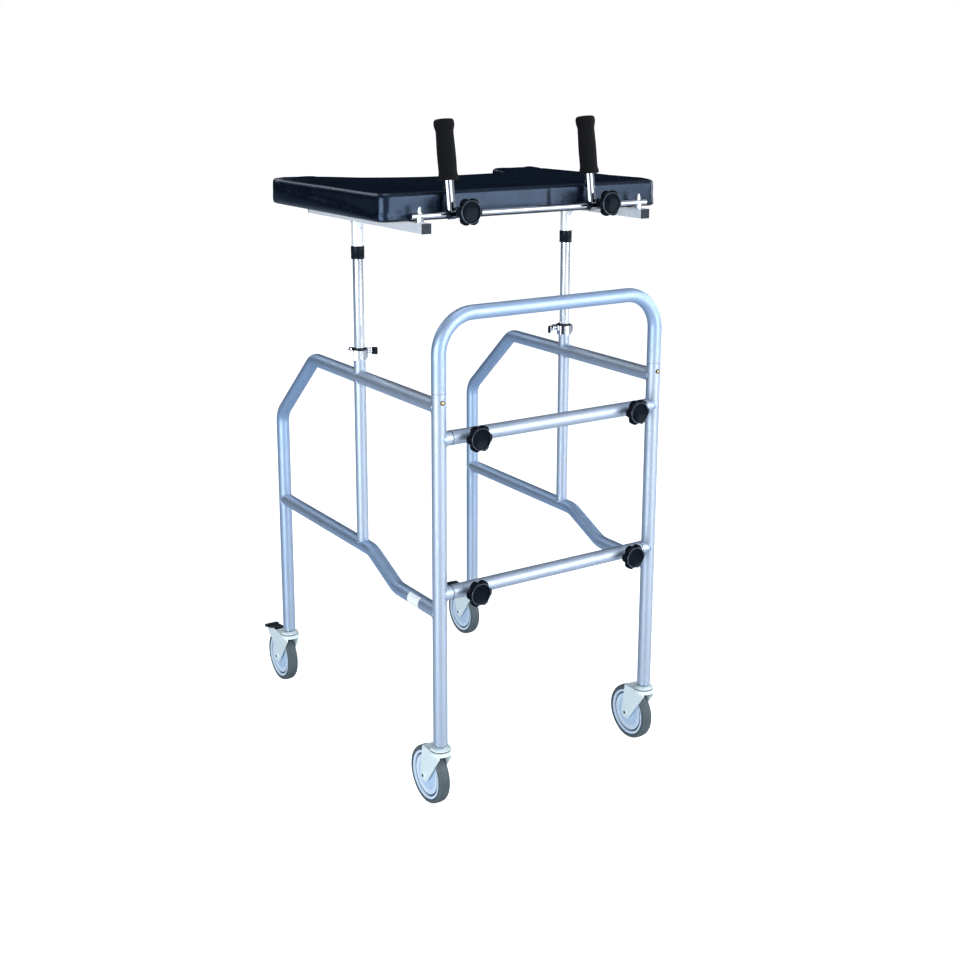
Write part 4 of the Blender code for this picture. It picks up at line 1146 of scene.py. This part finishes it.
# ---------------------------------------------------------------- finishes on the CAD nodes
def finishes():
    sided = [
        ("height_clamp_{}", CHROME, 0.0005, 2),
        ("clamp_lever_{}", CHROME, 0.0007, 3),
        ("spring_button_{}", BRASS, 0.0003, 2),
        ("tray_tube_{}", TUBE_CHROME, 0.0008, 3),
        ("tray_plug_front_{}", BLACK, 0.0010, 3),
        ("tray_plug_rear_{}", BLACK, 0.0010, 3),
        ("rod_fixing_{}", CHROME, 0.0004, 2),
        ("handle_sleeve_{}", BLACK, 0.0008, 3),
        ("handle_stem_{}", STEM_CHROME_PAINTED_SHADE, 0.0005, 2),
        ("brake_pedal_{}", BLACK, 0.0010, 3),
        ("castor_fork_front_{}", ZINC, 0.0005, 2),
        ("castor_fork_rear_{}", ZINC, 0.0005, 2),
    ]
    for side in SIDES:
        for node, material, bevel, segments in sided:
            paint_node(node.format(side), material, bevel, segments)
    paint_node("handle_rod", ROD_CHROME, 0.0006)
    paint_node("pad_board", WOOD)


# ---------------------------------------------------------------- floor, light and camera
def studio():
    bm = bmesh.new()
    bmesh.ops.create_circle(bm, cap_ends=True, segments=96, radius=30.0)
    floor = new_object("floor", new_mesh("floor", bm))
    floor.data.materials.append(floor_finish())
    floor.location = (0, 0, -0.0002)

    world = bpy.data.worlds.new("studio")
    world.use_nodes = True
    studio_walls(world.node_tree)
    bpy.context.scene.world = world
    bpy.context.scene.view_settings.view_transform = "Standard"

    soft_light("key", (1.5, -3.6, 1.5), (0, 0, 0.75), (2.6, 2.6), 102, (1.0, 0.99, 0.97))
    soft_light("edge", (3.6, -0.6, 1.7), (0, 0, 0.7), (0.9, 2.0), 40, (0.93, 0.97, 1.0))
    soft_light("side", (-4.2, -1.6, 0.9), (0, 0, 0.3), (3.0, 2.0), 148, (0.93, 0.98, 1.0))
    soft_light("top", (0, -0.3, 4.4), (0, 0, 0), (2.0, 2.0), 34, (1.0, 1.0, 1.0))
    soft_light("behind", (-1.4, 2.8, 3.1), (0, 0.6, 0.2), (3.0, 1.4), 24, (0.90, 0.97, 1.0))


def studio_walls(tree):
    """Walls that are dark behind and to the left, paler in front and overhead; white to the camera."""

    def link(value, socket):
        if isinstance(value, bpy.types.NodeSocket):
            tree.links.new(value, socket)
        else:
            socket.default_value = value

    def mix(amount, a, b):
        node = tree.nodes.new("ShaderNodeMix")
        node.data_type = "RGBA"
        for value, socket in ((amount, node.inputs[0]), (a, node.inputs[6]), (b, node.inputs[7])):
            link((*value, 1.0) if isinstance(value, tuple) else value, socket)
        return node.outputs[2]

    def towards(way, low, high):
        dot = tree.nodes.new("ShaderNodeVectorMath")
        dot.operation = "DOT_PRODUCT"
        tree.links.new(tree.nodes.new("ShaderNodeTexCoord").outputs["Generated"], dot.inputs[0])
        dot.inputs[1].default_value = way
        ramp = tree.nodes.new("ShaderNodeMapRange")
        ramp.interpolation_type = "SMOOTHSTEP"
        link(dot.outputs["Value"], ramp.inputs["Value"])
        link(low, ramp.inputs["From Min"])
        link(high, ramp.inputs["From Max"])
        return ramp.outputs["Result"]

    walls = mix(towards((0.55, -0.84, 0.0), -0.25, 0.55), (0.004, 0.010, 0.020), (0.62, 0.68, 0.76))
    walls = mix(towards((0.0, 0.0, 1.0), 0.50, 1.0), walls, (0.22, 0.27, 0.34))
    seen = tree.nodes.new("ShaderNodeLightPath").outputs["Is Camera Ray"]
    link(mix(seen, walls, (1.0, 1.0, 1.0)), tree.nodes["Background"].inputs["Color"])


def soft_light(name, place, target, size, watts, colour):
    light = bpy.data.lights.new(name, "AREA")
    light.shape = "RECTANGLE"
    light.size, light.size_y = size
    light.energy = watts
    light.color = colour
    made = new_object(name, light)
    made.location = place
    made.rotation_euler = (Vector(target) - Vector(place)).to_track_quat("-Z", "Y").to_euler()


def camera():
    data = bpy.data.cameras.new("camera")
    data.sensor_width = 36.0
    data.lens = 1382.5 / 960 * 36.0
    data.shift_y = -0.0896
    data.clip_end = 100.0
    made = new_object("camera", data)
    yaw = Matrix.Rotation(math.radians(-33.062), 4, "Z")
    pitch = Matrix.Rotation(math.radians(90 - 13.214), 4, "X")
    roll = Matrix.Rotation(math.radians(0.114), 4, "Z")
    made.matrix_world = Matrix.Translation((-1.6337, FRONT_Y - 2.2408, 1.5076)) @ yaw @ pitch @ roll
    bpy.context.scene.camera = made


finishes()
frame_tubes()
crimps()
seams()
welds()
knobs()
grips()
columns()
clamp_bushes()
castor_heads()
axle_socket_shades()
wheels()
lever_caps()
forearm_pad()
stitches()
small_label()
studio()
camera()
